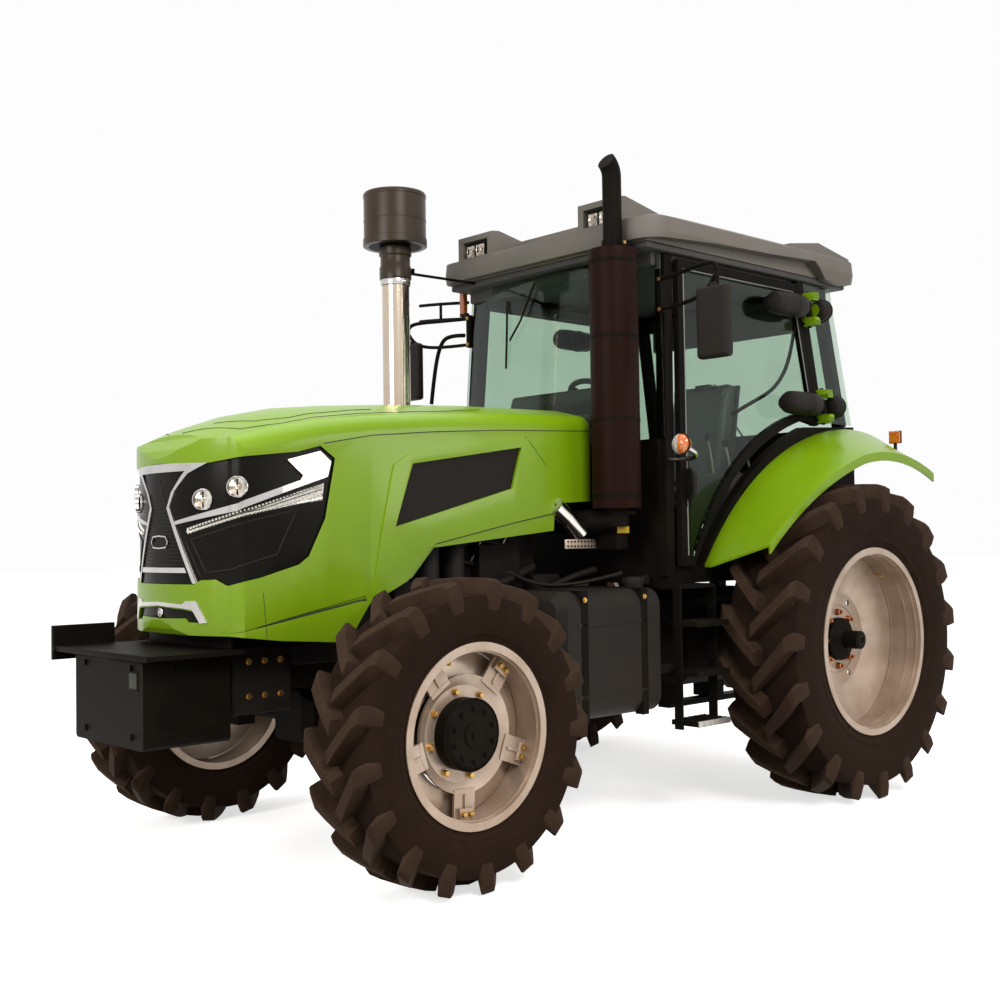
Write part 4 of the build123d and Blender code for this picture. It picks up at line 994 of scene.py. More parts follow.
# along the engine: filters, hoses, castings, the ribbed alternator, injectors and their pipes
engine = {"filters": {"x": 0.345, "y": (0.42, 0.58)},
          "filter": [(1.18, 0), (1.18, 0.045), (1.19, 0.055), (1.40, 0.055), (1.41, 0.050), (1.42, 0.062),
                     (1.45, 0.062), (1.455, 0.030), (1.47, 0.028), (1.47, 0)],
          "hoses": [([(0.30, 0.10, 1.30), (0.36, 0.30, 1.22), (0.37, 0.62, 1.16), (0.35, 0.95, 1.24),
                      (0.31, 1.15, 1.30)], 0.024),
                    ([(0.30, 0.20, 1.46), (0.38, 0.46, 1.50), (0.36, 0.80, 1.44), (0.31, 1.00, 1.40)], 0.012),
                    ([(0.30, 0.70, 1.05), (0.40, 0.95, 1.08), (0.42, 1.20, 1.22), (0.45, 1.48, 1.28)], 0.016),
                    ([(0.30, 0.66, 1.34), (0.34, 0.90, 1.30), (0.40, 1.10, 1.20), (0.55, 1.30, 1.21),
                      (0.62, 1.50, 1.26)], 0.010)],
          "castings": [((0.29, 0.74, 1.24), (0.36, 1.02, 1.42), 0.012),
                       ((0.29, 1.10, 1.02), (0.37, 1.30, 1.26), 0.015)],
          "alternator": [(0, 0), (0, 0.075), (0.02, 0.078), (0.06, 0.078), (0.07, 0.060), (0.10, 0.058),
                         (0.105, 0)],
          "alternatorPlace": (0.29, 0.24, 1.20), "ribs": 18,
          "rib": ((0.01, 0.058, -0.005), (0.06, 0.074, 0.005), 0.002),
          "injectors": (0.30, 0.46, 0.62, 0.78, 0.94)}
shapes = painted("moulding", *[upright(engine["filter"], engine["filters"]["x"],
                                       y) for y in engine["filters"]["y"]])
shapes += painted("moulding", *[tube(*hose) for hose in engine["hoses"]])
shapes += painted("castIron", *[block(*casting) for casting in engine["castings"]])
alternator = painted("castIron", lathe(engine["alternator"], 40))
alternator.append(ring(block(*engine["rib"]), engine["ribs"], "castIron"))
shapes += placed(alternator, shift(*engine["alternatorPlace"]))
for y in engine["injectors"]:
    pipe = [(0.29, y + 0.05, 1.52), (0.33, y + 0.04, 1.50), (0.335, y - 0.03, 1.40), (0.30, y - 0.05, 1.33)]
    shapes += painted("yellowZinc", bolt((0.29, y, 1.56), (1, 0, 0), 0.011, 0.009))
    shapes += painted("silverPaint", tube(pipe, 0.0045, 8))
build("engineFittings", "root", here(bothSides(shapes)))

# exhaust: polished inlet pipe, perforated guard with its clamps, a bolted collar, a perforated step and
# a bracket; the plates are blank
exhaust = {"inlet": ([(0.50, 1.136, 1.610), (0.50, 1.215, 1.555), (0.50, 1.317, 1.470)], 0.047, 32, False),
           "guard": [(1.600, 0.1222), (1.604, 0.1235), (2.922, 0.1235), (2.930, 0.121), (2.930, 0.0505),
                     (2.936, 0.0505),
                     (2.936, 0.1245), (2.915, guard["radius"]), (1.612, guard["radius"]), (1.594, 0.1245),
                     (1.594, 0.10), (1.600, 0.10)],
           "clamps": (1.66, 2.05, 2.48, 2.87), "clampHalf": 0.009, "clampRadii": (0.126, 0.1285),
           "collar": [(2.944, 0.0505), (2.944, 0.058), (2.985, 0.058), (2.985, 0.0505)],
           "lug": ((0.700, 1.425, 2.952), (0.730, 1.455, 2.978), 0.003), "lugBolt": (0.730, 1.44, 2.965),
           "step": ((0.500, 1.20, 1.390), (0.506, 1.44, 1.438), 0.002),
           "plate": ((0.655, 1.43, 1.467), (0.660, 1.52, 1.509), 0.001),
           "bracket": ((0.40, 1.43, 1.38), (0.655, 1.52, 1.558), 0.012),
           "hole": [(0, 0), (0, 0.0075), (0.002, 0.0070), (0.002, 0)], "firstHole": (0.506, 1.222, 1.402),
           "holes": 9, "holeStep": 0.025, "holeRise": 0.024}
shapes = painted("chromePlate", tube(*exhaust["inlet"]))
shapes += painted("perforatedSheet", upright(exhaust["guard"], guard["x"], guard["y"], 72))
inner, outer = exhaust["clampRadii"]
for z in exhaust["clamps"]:
    low, high = z - exhaust["clampHalf"], z + exhaust["clampHalf"]
    band = [(low, inner), (low, outer), (high, outer), (high, inner)]
    shapes += painted("blackPaint", upright(band, guard["x"], guard["y"], 64))
shapes += painted("blackPaint", upright(exhaust["collar"], guard["x"], guard["y"]), block(*exhaust["lug"]))
shapes += painted("yellowZinc", bolt(exhaust["lugBolt"], (1, 0, 0), 0.008))
shapes += painted("silverPaint", block(*exhaust["step"])) + painted("yellowPlastic", block(*exhaust["plate"]))
shapes += painted("blackPaint", block(*exhaust["bracket"]))
for rise in (0, exhaust["holeRise"]):
    hole = moved(lathe(exhaust["hole"], 6), shift(*exhaust["firstHole"]), shift(0, 0, rise))
    shapes.append(row(hole, exhaust["holes"], (0, exhaust["holeStep"], 0), "gapShadow"))
build("exhaustDetail", "root", here(shapes))

# pre-cleaner: the polished pipe with its bands, and the can; each is a finish, sides and a profile
preCleaner = {"x": -0.60, "y": 0.99, "parts": [
    ("polishedPipe", 56, [(1.95, 0.0742), (1.95, 0.0775), (2.885, 0.0775), (2.885, 0.0742)]),
    ("chromePlate", 56, [(2.888, 0.075), (2.888, 0.0835), (2.893, 0.0850), (2.917, 0.0850), (2.922, 0.0835),
                         (2.922, 0.075)]),
    ("blackPaint", 56, [(1.94, 0.074), (1.94, 0.088), (1.965, 0.088), (1.965, 0.074)]),
    ("bronzePaint", 56, [(2.924, 0.0825), (2.924, 0.0905), (2.99, 0.0905), (3.00, 0.0845), (3.05, 0.0845),
                         (3.06, 0.0925), (3.10, 0.0925), (3.108, 0.0825)]),
    ("bronzePaint", 80, [(3.1095, 0.15), (3.1095, 0.177), (3.112, 0.1815), (3.150, 0.1815), (3.153, 0.1765),
                         (3.250, 0.1765), (3.252, 0.1785), (3.256, 0.1785), (3.258, 0.1765), (3.385, 0.1765),
                         (3.388, 0.1790), (3.404, 0.1790), (3.4115, 0.174), (3.4115, 0.06), (3.4095, 0.04),
                         (3.4095, 0)])],
              "screw": ([(-0.52, 0.99, 2.905), (-0.495, 0.99, 2.905)], 0.012, 12),
              "tab": ((-0.67, 1.06, 2.955), (-0.53, 1.075, 2.988), 0.003)}
shapes = [(upright(profile, preCleaner["x"], preCleaner["y"], sides), look)
          for look, sides, profile in preCleaner["parts"]]
shapes += painted("chromePlate", tube(*preCleaner["screw"])) + painted("blackPaint", block(*preCleaner["tab"]))
build("preCleanerDetail", "root", here(shapes))

# mirrors: rounded housings on bent arms, standing for the plain ones
mirror = {"housing": ((1.097, 1.544, 2.324), (1.293, 1.604, 2.684), 0.029, 6),
          "clip": ((1.180, 1.556, 2.60), (1.222, 1.592, 2.70), 0.006),
          "glass": ((1.112, 1.600, 2.340), (1.278, 1.6065, 2.668), 0.003),
          "arms": [([(0.755, 1.692, 2.800), (0.95, 1.650, 2.806), (1.16, 1.585, 2.812), (1.215, 1.574, 2.790),
                     (1.217, 1.574, 2.740), (1.216, 1.574, 2.672)], 0.0115),
                   ([(0.755, 1.692, 2.640), (0.93, 1.652, 2.640), (1.08, 1.605, 2.650), (1.175, 1.578, 2.690),
                     (1.205, 1.574, 2.74)], 0.0105)],
          "base": ((0.745, 1.672, 2.620), (0.775, 1.712, 2.820), 0.004),
          "bolts": ((0.760, 1.672, 2.80), (0.760, 1.672, 2.64))}
shapes = painted("moulding", block(*mirror["housing"]), block(*mirror["clip"]))
shapes += painted("mirrorGlass", block(*mirror["glass"]))
shapes += painted("blackPaint", *[tube(*arm) for arm in mirror["arms"]], block(*mirror["base"]))
shapes += painted("yellowZinc", *[bolt(place, (0, -1, 0)) for place in mirror["bolts"]])
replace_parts(build("mirrorPair", "root", here(bothSides(shapes))), "mirrors")

# turn lamps, half amber and half clear, and tail lamps, standing for the plain ones
signal = {"x": 0.95, "z": 1.915, "lensY": 1.601, "shellY": 1.604, "backY": 1.617, "gap": 0.0002,
          "lens": [(0, 0), (0, 0.052), (0.012, 0.0515), (0.026, 0.041), (0.033, 0.021), (0.034, 0)],
          "back": [(0, 0), (0, 0.044), (0.010, 0.0435), (0.020, 0.034), (0.026, 0)],
          "shell": [(-0.016, 0), (-0.016, 0.046), (0, 0.057), (0.007, 0.057), (0.007, 0.0525), (0, 0.051),
                    (0, 0)],
          "arm": ([(0.965, 1.615, 1.900), (0.975, 1.68, 1.878), (0.945, 1.73, 1.850), (0.85, 1.72, 1.846),
                   (0.775, 1.70, 1.85)], 0.012),
          "tail": ((0.962, 3.590, 1.997), (1.038, 3.620, 2.070), 0.008, 3),
          "tailFrame": [((0.960, 3.597, 1.995), (1.040, 3.612, 2.072), 0.003),
                        ((0.992, 3.594, 1.935), (1.008, 3.612, 1.997), 0.003)]}
toFront, toRear = turn(-90, "Z"), turn(90, "Z")


# the part of a mesh on one side of a plane at x, closed again
def halfOf(mesh, x, sign):
    shape = bmesh.new()
    shape.from_mesh(mesh)
    cut = bmesh.ops.bisect_plane(shape, geom=shape.verts[:] + shape.edges[:] + shape.faces[:],
                                 plane_co=(x, 0, 0), plane_no=(-sign, 0, 0), clear_outer=True)
    rim = [edge for edge in cut["geom_cut"] if isinstance(edge, bmesh.types.BMEdge)]
    bmesh.ops.contextual_create(shape, geom=rim)
    return meshOf(shape)


shell = moved(lathe(signal["shell"], 48), shift(signal["x"], signal["shellY"], signal["z"]) @ toFront)
shapes = painted("moulding", shell)
for look, sign in (("amberLens", 1), ("clearLens", -1)):
    lens = moved(lathe(signal["lens"], 48), shift(signal["x"], signal["lensY"], signal["z"]) @ toFront)
    shapes += painted(look, halfOf(lens, signal["x"] + sign * signal["gap"], sign))
back = moved(lathe(signal["back"], 48), shift(signal["x"], signal["backY"], signal["z"]) @ toRear)
shapes += painted("amberLens", back, block(*signal["tail"])) + painted("chromePlate", tube(*signal["arm"]))
shapes += painted("moulding", *[block(*part) for part in signal["tailFrame"]])
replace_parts(build("signalLamps", "root", here(bothSides(shapes))), "signal_lamps")

# far side: the handrail, the marker lamp and its bracket
handrail = {"bars": [([(-0.77, 1.69, 2.90), (-1.02, 1.66, 2.925), (-1.19, 1.65, 2.935)], 0.010),
                     ([(-0.77, 1.69, 2.80), (-1.02, 1.66, 2.825), (-1.19, 1.65, 2.835)], 0.010),
                     ([(-1.00, 1.662, 2.82), (-1.00, 1.662, 2.93)], 0.009, 12, False),
                     ([(-0.80, 1.68, 2.70), (-0.93, 1.66, 2.715), (-1.005, 1.655, 2.66), (-1.06, 1.655, 2.50),
                       (-1.10, 1.66, 2.30)], 0.0125)],
            "lamp": ((-0.815, 1.655, 2.83), (-0.775, 1.690, 2.965), 0.008, 3),
            "bracket": ((-0.825, 1.665, 2.815), (-0.765, 1.695, 2.835), 0.004)}
shapes = painted("blackPaint", *[tube(*bar) for bar in handrail["bars"]])
shapes += painted("amberLens", block(*handrail["lamp"])) + painted("moulding", block(*handrail["bracket"]))
build("farHandrail", "root", here(shapes))
print("outside fittings made")

# on top of the engine: rocker cover with its ribs and nuts, filler cap, pipes; in front the fan and its pulley
engineTop = {"cover": ((-0.13, 0.06, 1.636), (0.13, 1.16, 1.742), 0.022, 4), "ribs": 14, "ribStep": 0.077,
             "rib": ((-0.10, 0.10, 1.738), (0.10, 0.125, 1.752), 0.004),
             "filler": ([(1.74, 0), (1.74, 0.034), (1.775, 0.036), (1.785, 0.030), (1.787, 0)], 0.0, 0.22),
             "hoses": [([(-0.18, 0.20, 1.60), (-0.18, 0.30, 1.72), (-0.20, 0.80, 1.74), (-0.27, 1.02, 1.62)],
                        0.034, 20),
                       ([(0.17, 0.02, 1.58), (0.19, -0.16, 1.62), (0.20, -0.42, 1.60)], 0.026, 20),
                       ([(-0.17, -0.02, 1.10), (-0.19, -0.20, 1.12), (-0.20, -0.42, 1.10)], 0.026, 20)],
             "fuelRail": ([(0.20, 0.10, 1.66), (0.20, 1.10, 1.66)], 0.016, 16, False),
             "nutsY": (0.12, 0.42, 0.72, 1.02), "nutsX": (-0.115, 0.115),
             "nut": [(1.742, 0), (1.742, 0.012), (1.752, 0.012), (1.752, 0)],
             "pulley": [(0, 0), (0, 0.07), (0.010, 0.075), (0.020, 0.066), (0.030, 0.075), (0.040, 0.07),
                        (0.040, 0)],
             "pulleyY": -0.06}
fan = {"y": -0.335, "z": 1.30, "blades": 7, "radius": 0.215, "pitch": 24, "root": 0.045, "thick": 0.004,
       "hub": [(-0.03, 0), (-0.03, 0.058), (0.03, 0.062), (0.04, 0.045), (0.04, 0)],
       "shroud": [(0.05, 0.235), (0.05, 0.245), (-0.05, 0.245), (-0.05, 0.235)]}
shapes = painted("castIron", block(*engineTop["cover"]))
shapes.append(row(block(*engineTop["rib"]), engineTop["ribs"], (0, engineTop["ribStep"], 0), "castIron"))
shapes += painted("yellowPlastic", upright(*engineTop["filler"]))
shapes += painted("moulding", *[tube(*hose) for hose in engineTop["hoses"]])
shapes += painted("silverPaint", tube(*engineTop["fuelRail"]))
blade = prism([(-0.020, fan["root"]), (0.034, fan["root"]), (0.052, fan["radius"]), (-0.012, fan["radius"])],
              -fan["thick"] / 2, fan["thick"] / 2, 0.001)
turning = [ring(moved(blade, turn(fan["pitch"], "Z")), fan["blades"], "moulding")]
turning += painted("castIron", lathe(fan["hub"], 32))
turning += painted("blackPaint", lathe(fan["shroud"], 48, closed=True))
shapes += placed(turning, shift(0, fan["y"], fan["z"]) @ toRear)
pulley = painted("castIron", lathe(engineTop["pulley"], 40))
shapes += placed(pulley, shift(0, engineTop["pulleyY"], fan["z"]) @ toFront)
shapes += painted("yellowZinc", *[upright(engineTop["nut"], x, y, 6) for y in engineTop["nutsY"]
                                  for x in engineTop["nutsX"]])
build("engineTop", "root", here(shapes))
print("engine dressed")

# door hinges: round-ended sleeves and ribbed brackets on the leaning hinge line
tipped = shift(0.85, 0, 1.29) @ turn(-2.4, "Y") @ shift(-0.85, 0, -1.29)  # the lean of the cab's sides
hinge = {"x": 0.892, "places": ((3.040, 2.20), (2.9555, 2.77)),
         "sleeve": (-0.404, -0.100, 0.064), "sleeveOut": 0.024, "pin": (-0.200, -0.036, 0.0412),
         "rearSleeve": (0.0435, 0.150, 0.060), "rearOut": 0.021,
         "knuckle": ((-0.012, -0.058, -0.031), (0.012, -0.0205, 0.031), 0.004),
         "strap": ((-0.043, -0.255, -0.036), (-0.026, -0.055, 0.036), 0.005),
         "rib": ((-0.020, -0.017, 0), (0.052, -0.0135, 0.030), 0.0012), "ribs": 6, "ribStep": 0.0098,
         "bracketZ": 0.0655, "nut": [(0, 0), (0, 0.013), (0.006, 0.013), (0.009, 0.009), (0.009, 0)],
         "nutZ": 0.034,
         "plates": [((-0.030, -0.0165, -0.001), (0.055, 0.036, 0.006), 0.002),
                    ((-0.030, -0.0165, 0.022), (0.020, 0.036, 0.034), 0.003)]}


# a round-ended sleeve along y, with a collar
def bullet(start, end, radius):
    length = end - start
    shape = lathe([(0, 0), (0.003, radius * 0.55), (0.012, radius * 0.86), (0.030, radius),
                   (length * 0.30, radius * 1.06), (length * 0.62, radius * 1.06),
                   (length * 0.64, radius * 1.12),
                   (length * 0.67, radius * 1.12), (length * 0.69, radius * 1.04), (length - 0.02, radius),
                   (length - 0.006, radius * 0.85), (length, 0)], 40)
    return moved(shape, shift(0, start, 0) @ toRear)


leaf, bracket = [], []
for y, z in hinge["places"]:
    place = tipped @ shift(hinge["x"], y, z)
    sleeve = moved(bullet(*hinge["sleeve"]), shift(hinge["sleeveOut"], 0, 0))
    leaf += placed(painted("moulding", sleeve, bullet(*hinge["pin"])), place)
    leaf += placed(painted("greenPaint", block(*hinge["knuckle"])), place)
    leaf += placed(painted("blackPaint", block(*hinge["strap"])), place)
    bracket += placed(painted("moulding", bullet(*hinge["rearSleeve"])), place @ shift(hinge["rearOut"], 0, 0))
    for side in (-1, 1):
        ribs = [row(block(*hinge["rib"]), hinge["ribs"], (0, hinge["ribStep"], 0), "greenPaint")]
        plates = painted("greenPaint", *[block(*plate) for plate in hinge["plates"]])
        nut = painted("blackPaint", moved(lathe(hinge["nut"], 24), shift(0, 0, hinge["nutZ"]) @ turn(-90, "Y")))
        flip = Matrix.Diagonal((1, 1, side, 1)) @ shift(0, 0, hinge["bracketZ"])
        bracket += placed(ribs + plates + nut, place @ flip)
rightLeaf = mirroredAll(leaf)
build("leftHingeLeaf", "left_door", here(leaf))
build("rightHingeLeaf", "right_door", here(rightLeaf))
build("hingeBrackets", "root", here(bothSides(bracket)))

# doors: handle, latch plate, rubber seal as (y, z) points with its light grey a painted highlight, and the
# curved grab rail inside
door = {"handle": ([(0.858, 1.787, 1.640), (0.885, 1.787, 1.665), (0.888, 1.787, 1.72), (0.885, 1.787, 1.775),
                    (0.858, 1.787, 1.800)], 0.0105),
        "latch": ((0.846, 1.768, 1.60), (0.8535, 1.812, 1.85), 0.003),
        "grab": ([(0.834, 2.90, 2.74), (0.822, 2.86, 2.52), (0.818, 2.70, 2.30), (0.818, 2.40, 2.18),
                  (0.822, 2.25, 2.12)], 0.011),
        "seal": [(1.770, 1.345), (1.845, 2.873), (2.858, 2.873), (2.985, 2.150), (2.86, 2.165)],
        "sealX": 0.8515, "sealRadius": 0.0032}
seals = [tube([(door["sealX"], *first), (door["sealX"], *second)], door["sealRadius"], 8, smooth=False)
         for first, second in zip(door["seal"], door["seal"][1:])]
shapes = painted("moulding", tube(*door["handle"]))
shapes += placed(painted("blackPaint", block(*door["latch"]), tube(*door["grab"])), tipped)
# the seals are painted light grey: a painted highlight on black rubber
shapes += placed(painted("sealRubber", *seals), tipped)
rightShapes = mirroredAll(shapes)
build("leftDoorFittings", "left_door", here(shapes))
build("rightDoorFittings", "right_door", here(rightShapes))

# roof: hatch cover, lining under the roof, lifting eyes
roof = {"hatch": [((-0.334, 2.046, 3.160), (0.334, 2.754, 3.2205), 0.022, 4),
                  ((-0.27, 2.11, 3.218), (0.27, 2.69, 3.2245), 0.003)],
        "lining": ((-0.783, 1.563, 2.950), (0.783, 3.422, 2.984), 0.012, 3),
        "eyes": ((0.36, 1.93), (-0.36, 1.93), (0.40, 2.95), (-0.40, 2.95)),
        "eye": ((-0.02, 3.18), (-0.02, 3.222), (0, 3.236), (0.02, 3.222), (0.02, 3.18))}
shapes = painted("moulding", *[block(*part) for part in roof["hatch"]])
shapes += painted("cabTrim", block(*roof["lining"]))
shapes += painted("silverPaint", *[tube([(x, y + step, z) for step, z in roof["eye"]], 0.005, 10)
                                   for x, y in roof["eyes"]])
build("roofFittings", "root", here(shapes))

# roof lamps: frame, bar, lens and two reflectors each
roofLamp = {"frame": ((0.412, 1.509, 3.104), (0.573, 1.522, 3.186), 0.004),
            "lens": ((0.420, 1.505, 3.112), (0.565, 1.512, 3.178), 0.004),
            "bar": ((0.486, 1.502, 3.110), (0.499, 1.510, 3.180), 0.002),
            "bowls": (0.453, 0.532), "bowlY": 1.505, "bowlZ": 3.145,
            "bowl": [(0, 0.030), (0.006, 0.030), (0.006, 0.0275), (0.002, 0.022), (0.001, 0.010),
                     (0.004, 0.008),
                     (0.005, 0)]}
shapes = painted("blackPaint", block(*roofLamp["frame"]), block(*roofLamp["bar"]))
shapes += painted("clearLens", block(*roofLamp["lens"]))
for x in roofLamp["bowls"]:
    shapes += placed(painted("reflector", lathe(roofLamp["bowl"], 32)),
                     shift(x, roofLamp["bowlY"], roofLamp["bowlZ"]) @ toFront)
build("roofLampDetail", "root", here(bothSides(shapes)))

# headers above the glass, rear, front and at both sides, and the box for the air
headers = [((-0.72, 3.27, 2.850), (0.72, 3.31, 2.985), 0.008),
           ((-0.72, 1.66, 2.880), (0.72, 1.70, 2.985), 0.008),
           ((0.700, 1.70, 2.865), (0.732, 3.27, 2.985), 0.008),
           ((-0.732, 1.70, 2.865), (-0.700, 3.27, 2.985), 0.008),
           ((-0.60, 3.22, 2.70), (0.60, 3.27, 2.86), 0.02, 3)]
build("cabHeaders", "root", here(painted("cabTrim", *[block(*header) for header in headers])))

# rear wall: raised edges, couplers with their valves, a blank plate, a sill and the rear wiper
rear = {"edges": [[(-0.62, 1.42), (0.62, 1.42), (0.62, 1.86), (-0.62, 1.86), (-0.62, 1.42)],
                  [(-0.20, 1.42), (-0.20, 1.86)], [(0.20, 1.42), (0.20, 1.86)]],
        "couplers": (-0.44, -0.36, -0.28, 0.28, 0.36, 0.44), "couplerZ": 1.52, "couplerLength": 0.060,
        "coupler": [(0, 0), (0, 0.024), (0.010, 0.024), (0.012, 0.017), (0.040, 0.017), (0.042, 0.022),
                    (0.058, 0.022), (0.060, 0.016), (0.060, 0)],
        "valve": [(0, 0), (0, 0.021), (0.010, 0.020), (0.012, 0)],
        "wiper": ((0.0, 2.06), (-0.14, 2.28), (-0.20, 2.46)), "wiperLift": 0.014}


def rearWall(x, z):
    return onSkin(("cab_base", "cab_frame", "rear_glass"), (x, 4.2, z), (0, -1, 0))


shapes = painted("blackPaint", *[seam(rearWall, edge, 0.006, 0.0, 0.06) for edge in rear["edges"]])
wall = rearWall(0, 1.6)[0].y
for x in rear["couplers"]:
    place = shift(x, wall, rear["couplerZ"]) @ toRear
    shapes += placed(painted("silverPaint", lathe(rear["coupler"], 24)), place)
    shapes += placed(painted("castIron", lathe(rear["valve"], 20)), place @ shift(rear["couplerLength"], 0, 0))
shapes += painted("silverPaint", block((-0.16, wall - 0.001, 1.58), (0.16, wall + 0.004, 1.68), 0.002))
shapes += painted("blackPaint", block((-0.58, wall - 0.002, 1.885), (0.58, wall + 0.030, 1.915), 0.008, 3))
arm = [rearWall(x, z)[0] + Vector((0, rear["wiperLift"], 0)) for x, z in rear["wiper"]]
shapes += painted("blackPaint", tube(arm, 0.006, 10, smooth=False))
build("rearFittings", "root", shapes)

# wiper on the windshield: arm, blade and its spine as x, z and height above the glass
wiper = {"arm": ((-0.10, 2.905, 0.018), (-0.21, 2.70, 0.022), (-0.31, 2.60, 0.016)),
         "blade": ((-0.355, 2.84, 0.008), (-0.345, 2.64, 0.010), (-0.350, 2.44, 0.008)),
         "spine": ((-0.350, 2.80, 0.015), (-0.342, 2.64, 0.018), (-0.346, 2.48, 0.015))}


def onGlass(points):
    hits = [(onSkin(("windshield",), (x, -3.2, z), (0, 1, 0)), lift) for x, z, lift in points]
    return [place + normal * lift for (place, normal), lift in hits]


build("wiper", "root",
      painted("blackPaint", tube(onGlass(wiper["arm"]), 0.006, 10, smooth=False))
      + painted("moulding", tube(onGlass(wiper["blade"]), 0.0065, 10))
      + painted("blackPaint", tube(onGlass(wiper["spine"]), 0.003, 8)))

# cab: dash and its column, floor mat, consoles, levers, seat base with its bellows, clocks
cab = {"hump": ([(1.70, 2.10), (1.86, 2.14), (1.90, 2.24), (1.80, 2.285), (1.68, 2.275), (1.655, 2.20)],
                -0.38, 0.30, 0.02, 4),
       "pedestal": ([(1.66, 1.30), (1.90, 1.30), (1.86, 1.70), (1.96, 2.12), (1.90, 2.17), (1.68, 2.14)],
                    -0.245, 0.245, 0.02, 3),
       "boxes": [((-0.78, 1.70, 1.201), (0.78, 3.35, 1.214), 0.004),
                 ((0.42, 2.30, 1.215), (0.74, 3.30, 1.80), 0.05, 4),
                 ((-0.74, 2.30, 1.215), (-0.42, 3.30, 1.76), 0.05, 4),
                 ((-0.26, 2.60, 1.34), (0.26, 2.95, 1.56), 0.03, 3)],
       "column": [(-0.10, 0), (-0.10, 0.036), (0.02, 0.040), (0.13, 0.045), (0.13, 0)], "columnDown": -0.19,
       "stalk": ([(0.02, 1.985, 2.13), (0.12, 1.96, 2.19), (0.165, 1.95, 2.21)], 0.007, 10),
       "bellows": ((-0.20, 2.58, 1.565), (0.20, 2.92, 1.575), 0.004), "folds": 5, "foldStep": 0.011,
       "levers": ((0.52, 2.42, 0.22), (0.60, 2.48, 0.18), (0.68, 2.56, 0.16), (0.56, 2.62, 0.12),
                  (-0.55, 2.46, 0.20)),
       "leverFoot": 1.78, "knob": ((-0.01, 0), (-0.005, 0.014), (0.015, 0.020), (0.035, 0.017), (0.042, 0)),
       "clocks": (-0.12, 0.02, 0.13), "clockY": 1.905, "clockZ": 2.215, "clockTilt": -35,
       "clock": [(0, 0), (0, 0.045), (0.006, 0.045), (0.008, 0.041), (0.004, 0.038), (0.004, 0)]}
steering = {"place": shift(0, 2.04, 2.24) @ turn(-35, "X"), "radius": 0.194, "grip": 0.0165, "bossDown": -0.006,
            "boss": [(-0.02, 0), (-0.02, 0.05), (0.0, 0.052), (0.012, 0.044), (0.017, 0.025), (0.018, 0)]}
column = moved(lathe(cab["column"], 32), steering["place"] @ shift(0, 0, cab["columnDown"]) @ turn(-90, "Y"))
shapes = painted("cabTrim", prism(*cab["hump"]), prism(*cab["pedestal"]),
                 *[block(*box) for box in cab["boxes"]],
                 column, tube(*cab["stalk"]))
shapes.append(row(block(*cab["bellows"]), cab["folds"], (0, 0, cab["foldStep"]), "moulding"))
for x, y, height in cab["levers"]:
    foot = cab["leverFoot"]
    rod = [(x, y, foot), (x, y - 0.02, foot + height * 0.6), (x - 0.01, y - 0.04, foot + height)]
    knob = [(foot + height + along, radius) for along, radius in cab["knob"]]
    shapes += painted("silverPaint", tube(rod, 0.006, 10))
    shapes += painted("moulding", upright(knob, x - 0.01, y - 0.04, 24))
for x in cab["clocks"]:
    tilt = shift(x, cab["clockY"], cab["clockZ"]) @ toRear @ turn(cab["clockTilt"], "Y")
    shapes += placed(painted("reflector", lathe(cab["clock"], 40)), tilt)
build("cabInterior", "root", here(shapes))
rim = [steering["radius"] * Vector((math.cos(a), math.sin(a), 0)) for a in turns(60) + [2 * math.pi]]
boss = moved(lathe(steering["boss"], 40), shift(0, 0, steering["bossDown"]) @ turn(-90, "Y"))
wheel = painted("cabTrim", tube(rim, steering["grip"], 14, smooth=False)) + painted("moulding", boss)
build("wheelGrip", "steering_wheel", here(placed(wheel, steering["place"])))

# steps: studded treads and their bright edges
steps = {"heights": (0.515, 0.765, 1.015), "x": 0.885, "y": 1.600, "along": (10, 0.0255), "across": (5, 0.034),
         "stud": [(0, 0.0065), (0.0045, 0.005), (0.0045, 0)], "wornBelow": 0.6}
shapes = []
for z in steps["heights"]:
    count, wide = steps["across"]
    for number in range(count):
        stud = moved(lathe(steps["stud"], 8), shift(steps["x"] + number * wide, steps["y"], z) @ turn(-90, "Y"))
        shapes.append(row(stud, steps["along"][0], (0, steps["along"][1], 0), "blackPaint"))
    edge = block((1.034, 1.584, z - 0.027), (1.043, 1.846, z + 0.003), 0.002)
    shapes += painted("wornEdge" if z < steps["wornBelow"] else "blackPaint", edge)
# tank: straps, ribbed cap, bands and filler hose; battery box: latches and the handle
tank = {"straps": (0.93, 1.36), "strapHalf": 0.022, "side": (0.84, 0.8935), "height": (0.566, 1.194),
        "cap": [(1.20, 0), (1.20, 0.0495), (1.232, 0.0515), (1.240, 0.048), (1.244, 0.030), (1.244, 0)],
        "capX": 0.76, "capY": 1.43, "capZ": 1.204, "grip": ((0, 0.047, -0.003), (0.03, 0.054, 0.003), 0.001),
        "grips": 16,
        "bands": [((0.886, 0.88, 0.68), (0.8935, 1.42, 0.70), 0.003),
                  ((0.886, 0.88, 1.02), (0.8935, 1.42, 1.04), 0.003)],
        "hose": ([(0.72, 1.50, 1.20), (0.70, 1.60, 1.24), (0.66, 1.66, 1.22)], 0.02)}
battery = {"latches": [((-0.884, 0.90, 1.100), (-0.878, 0.96, 1.152), 0.002),
                       ((-0.884, 1.32, 1.100), (-0.878, 1.38, 1.152), 0.002)],
           "handle": ([(-0.70, 1.08, 1.15), (-0.70, 1.10, 1.18), (-0.70, 1.20, 1.18), (-0.70, 1.22, 1.15)],
                      0.006, 10)}
low, high = tank["height"]
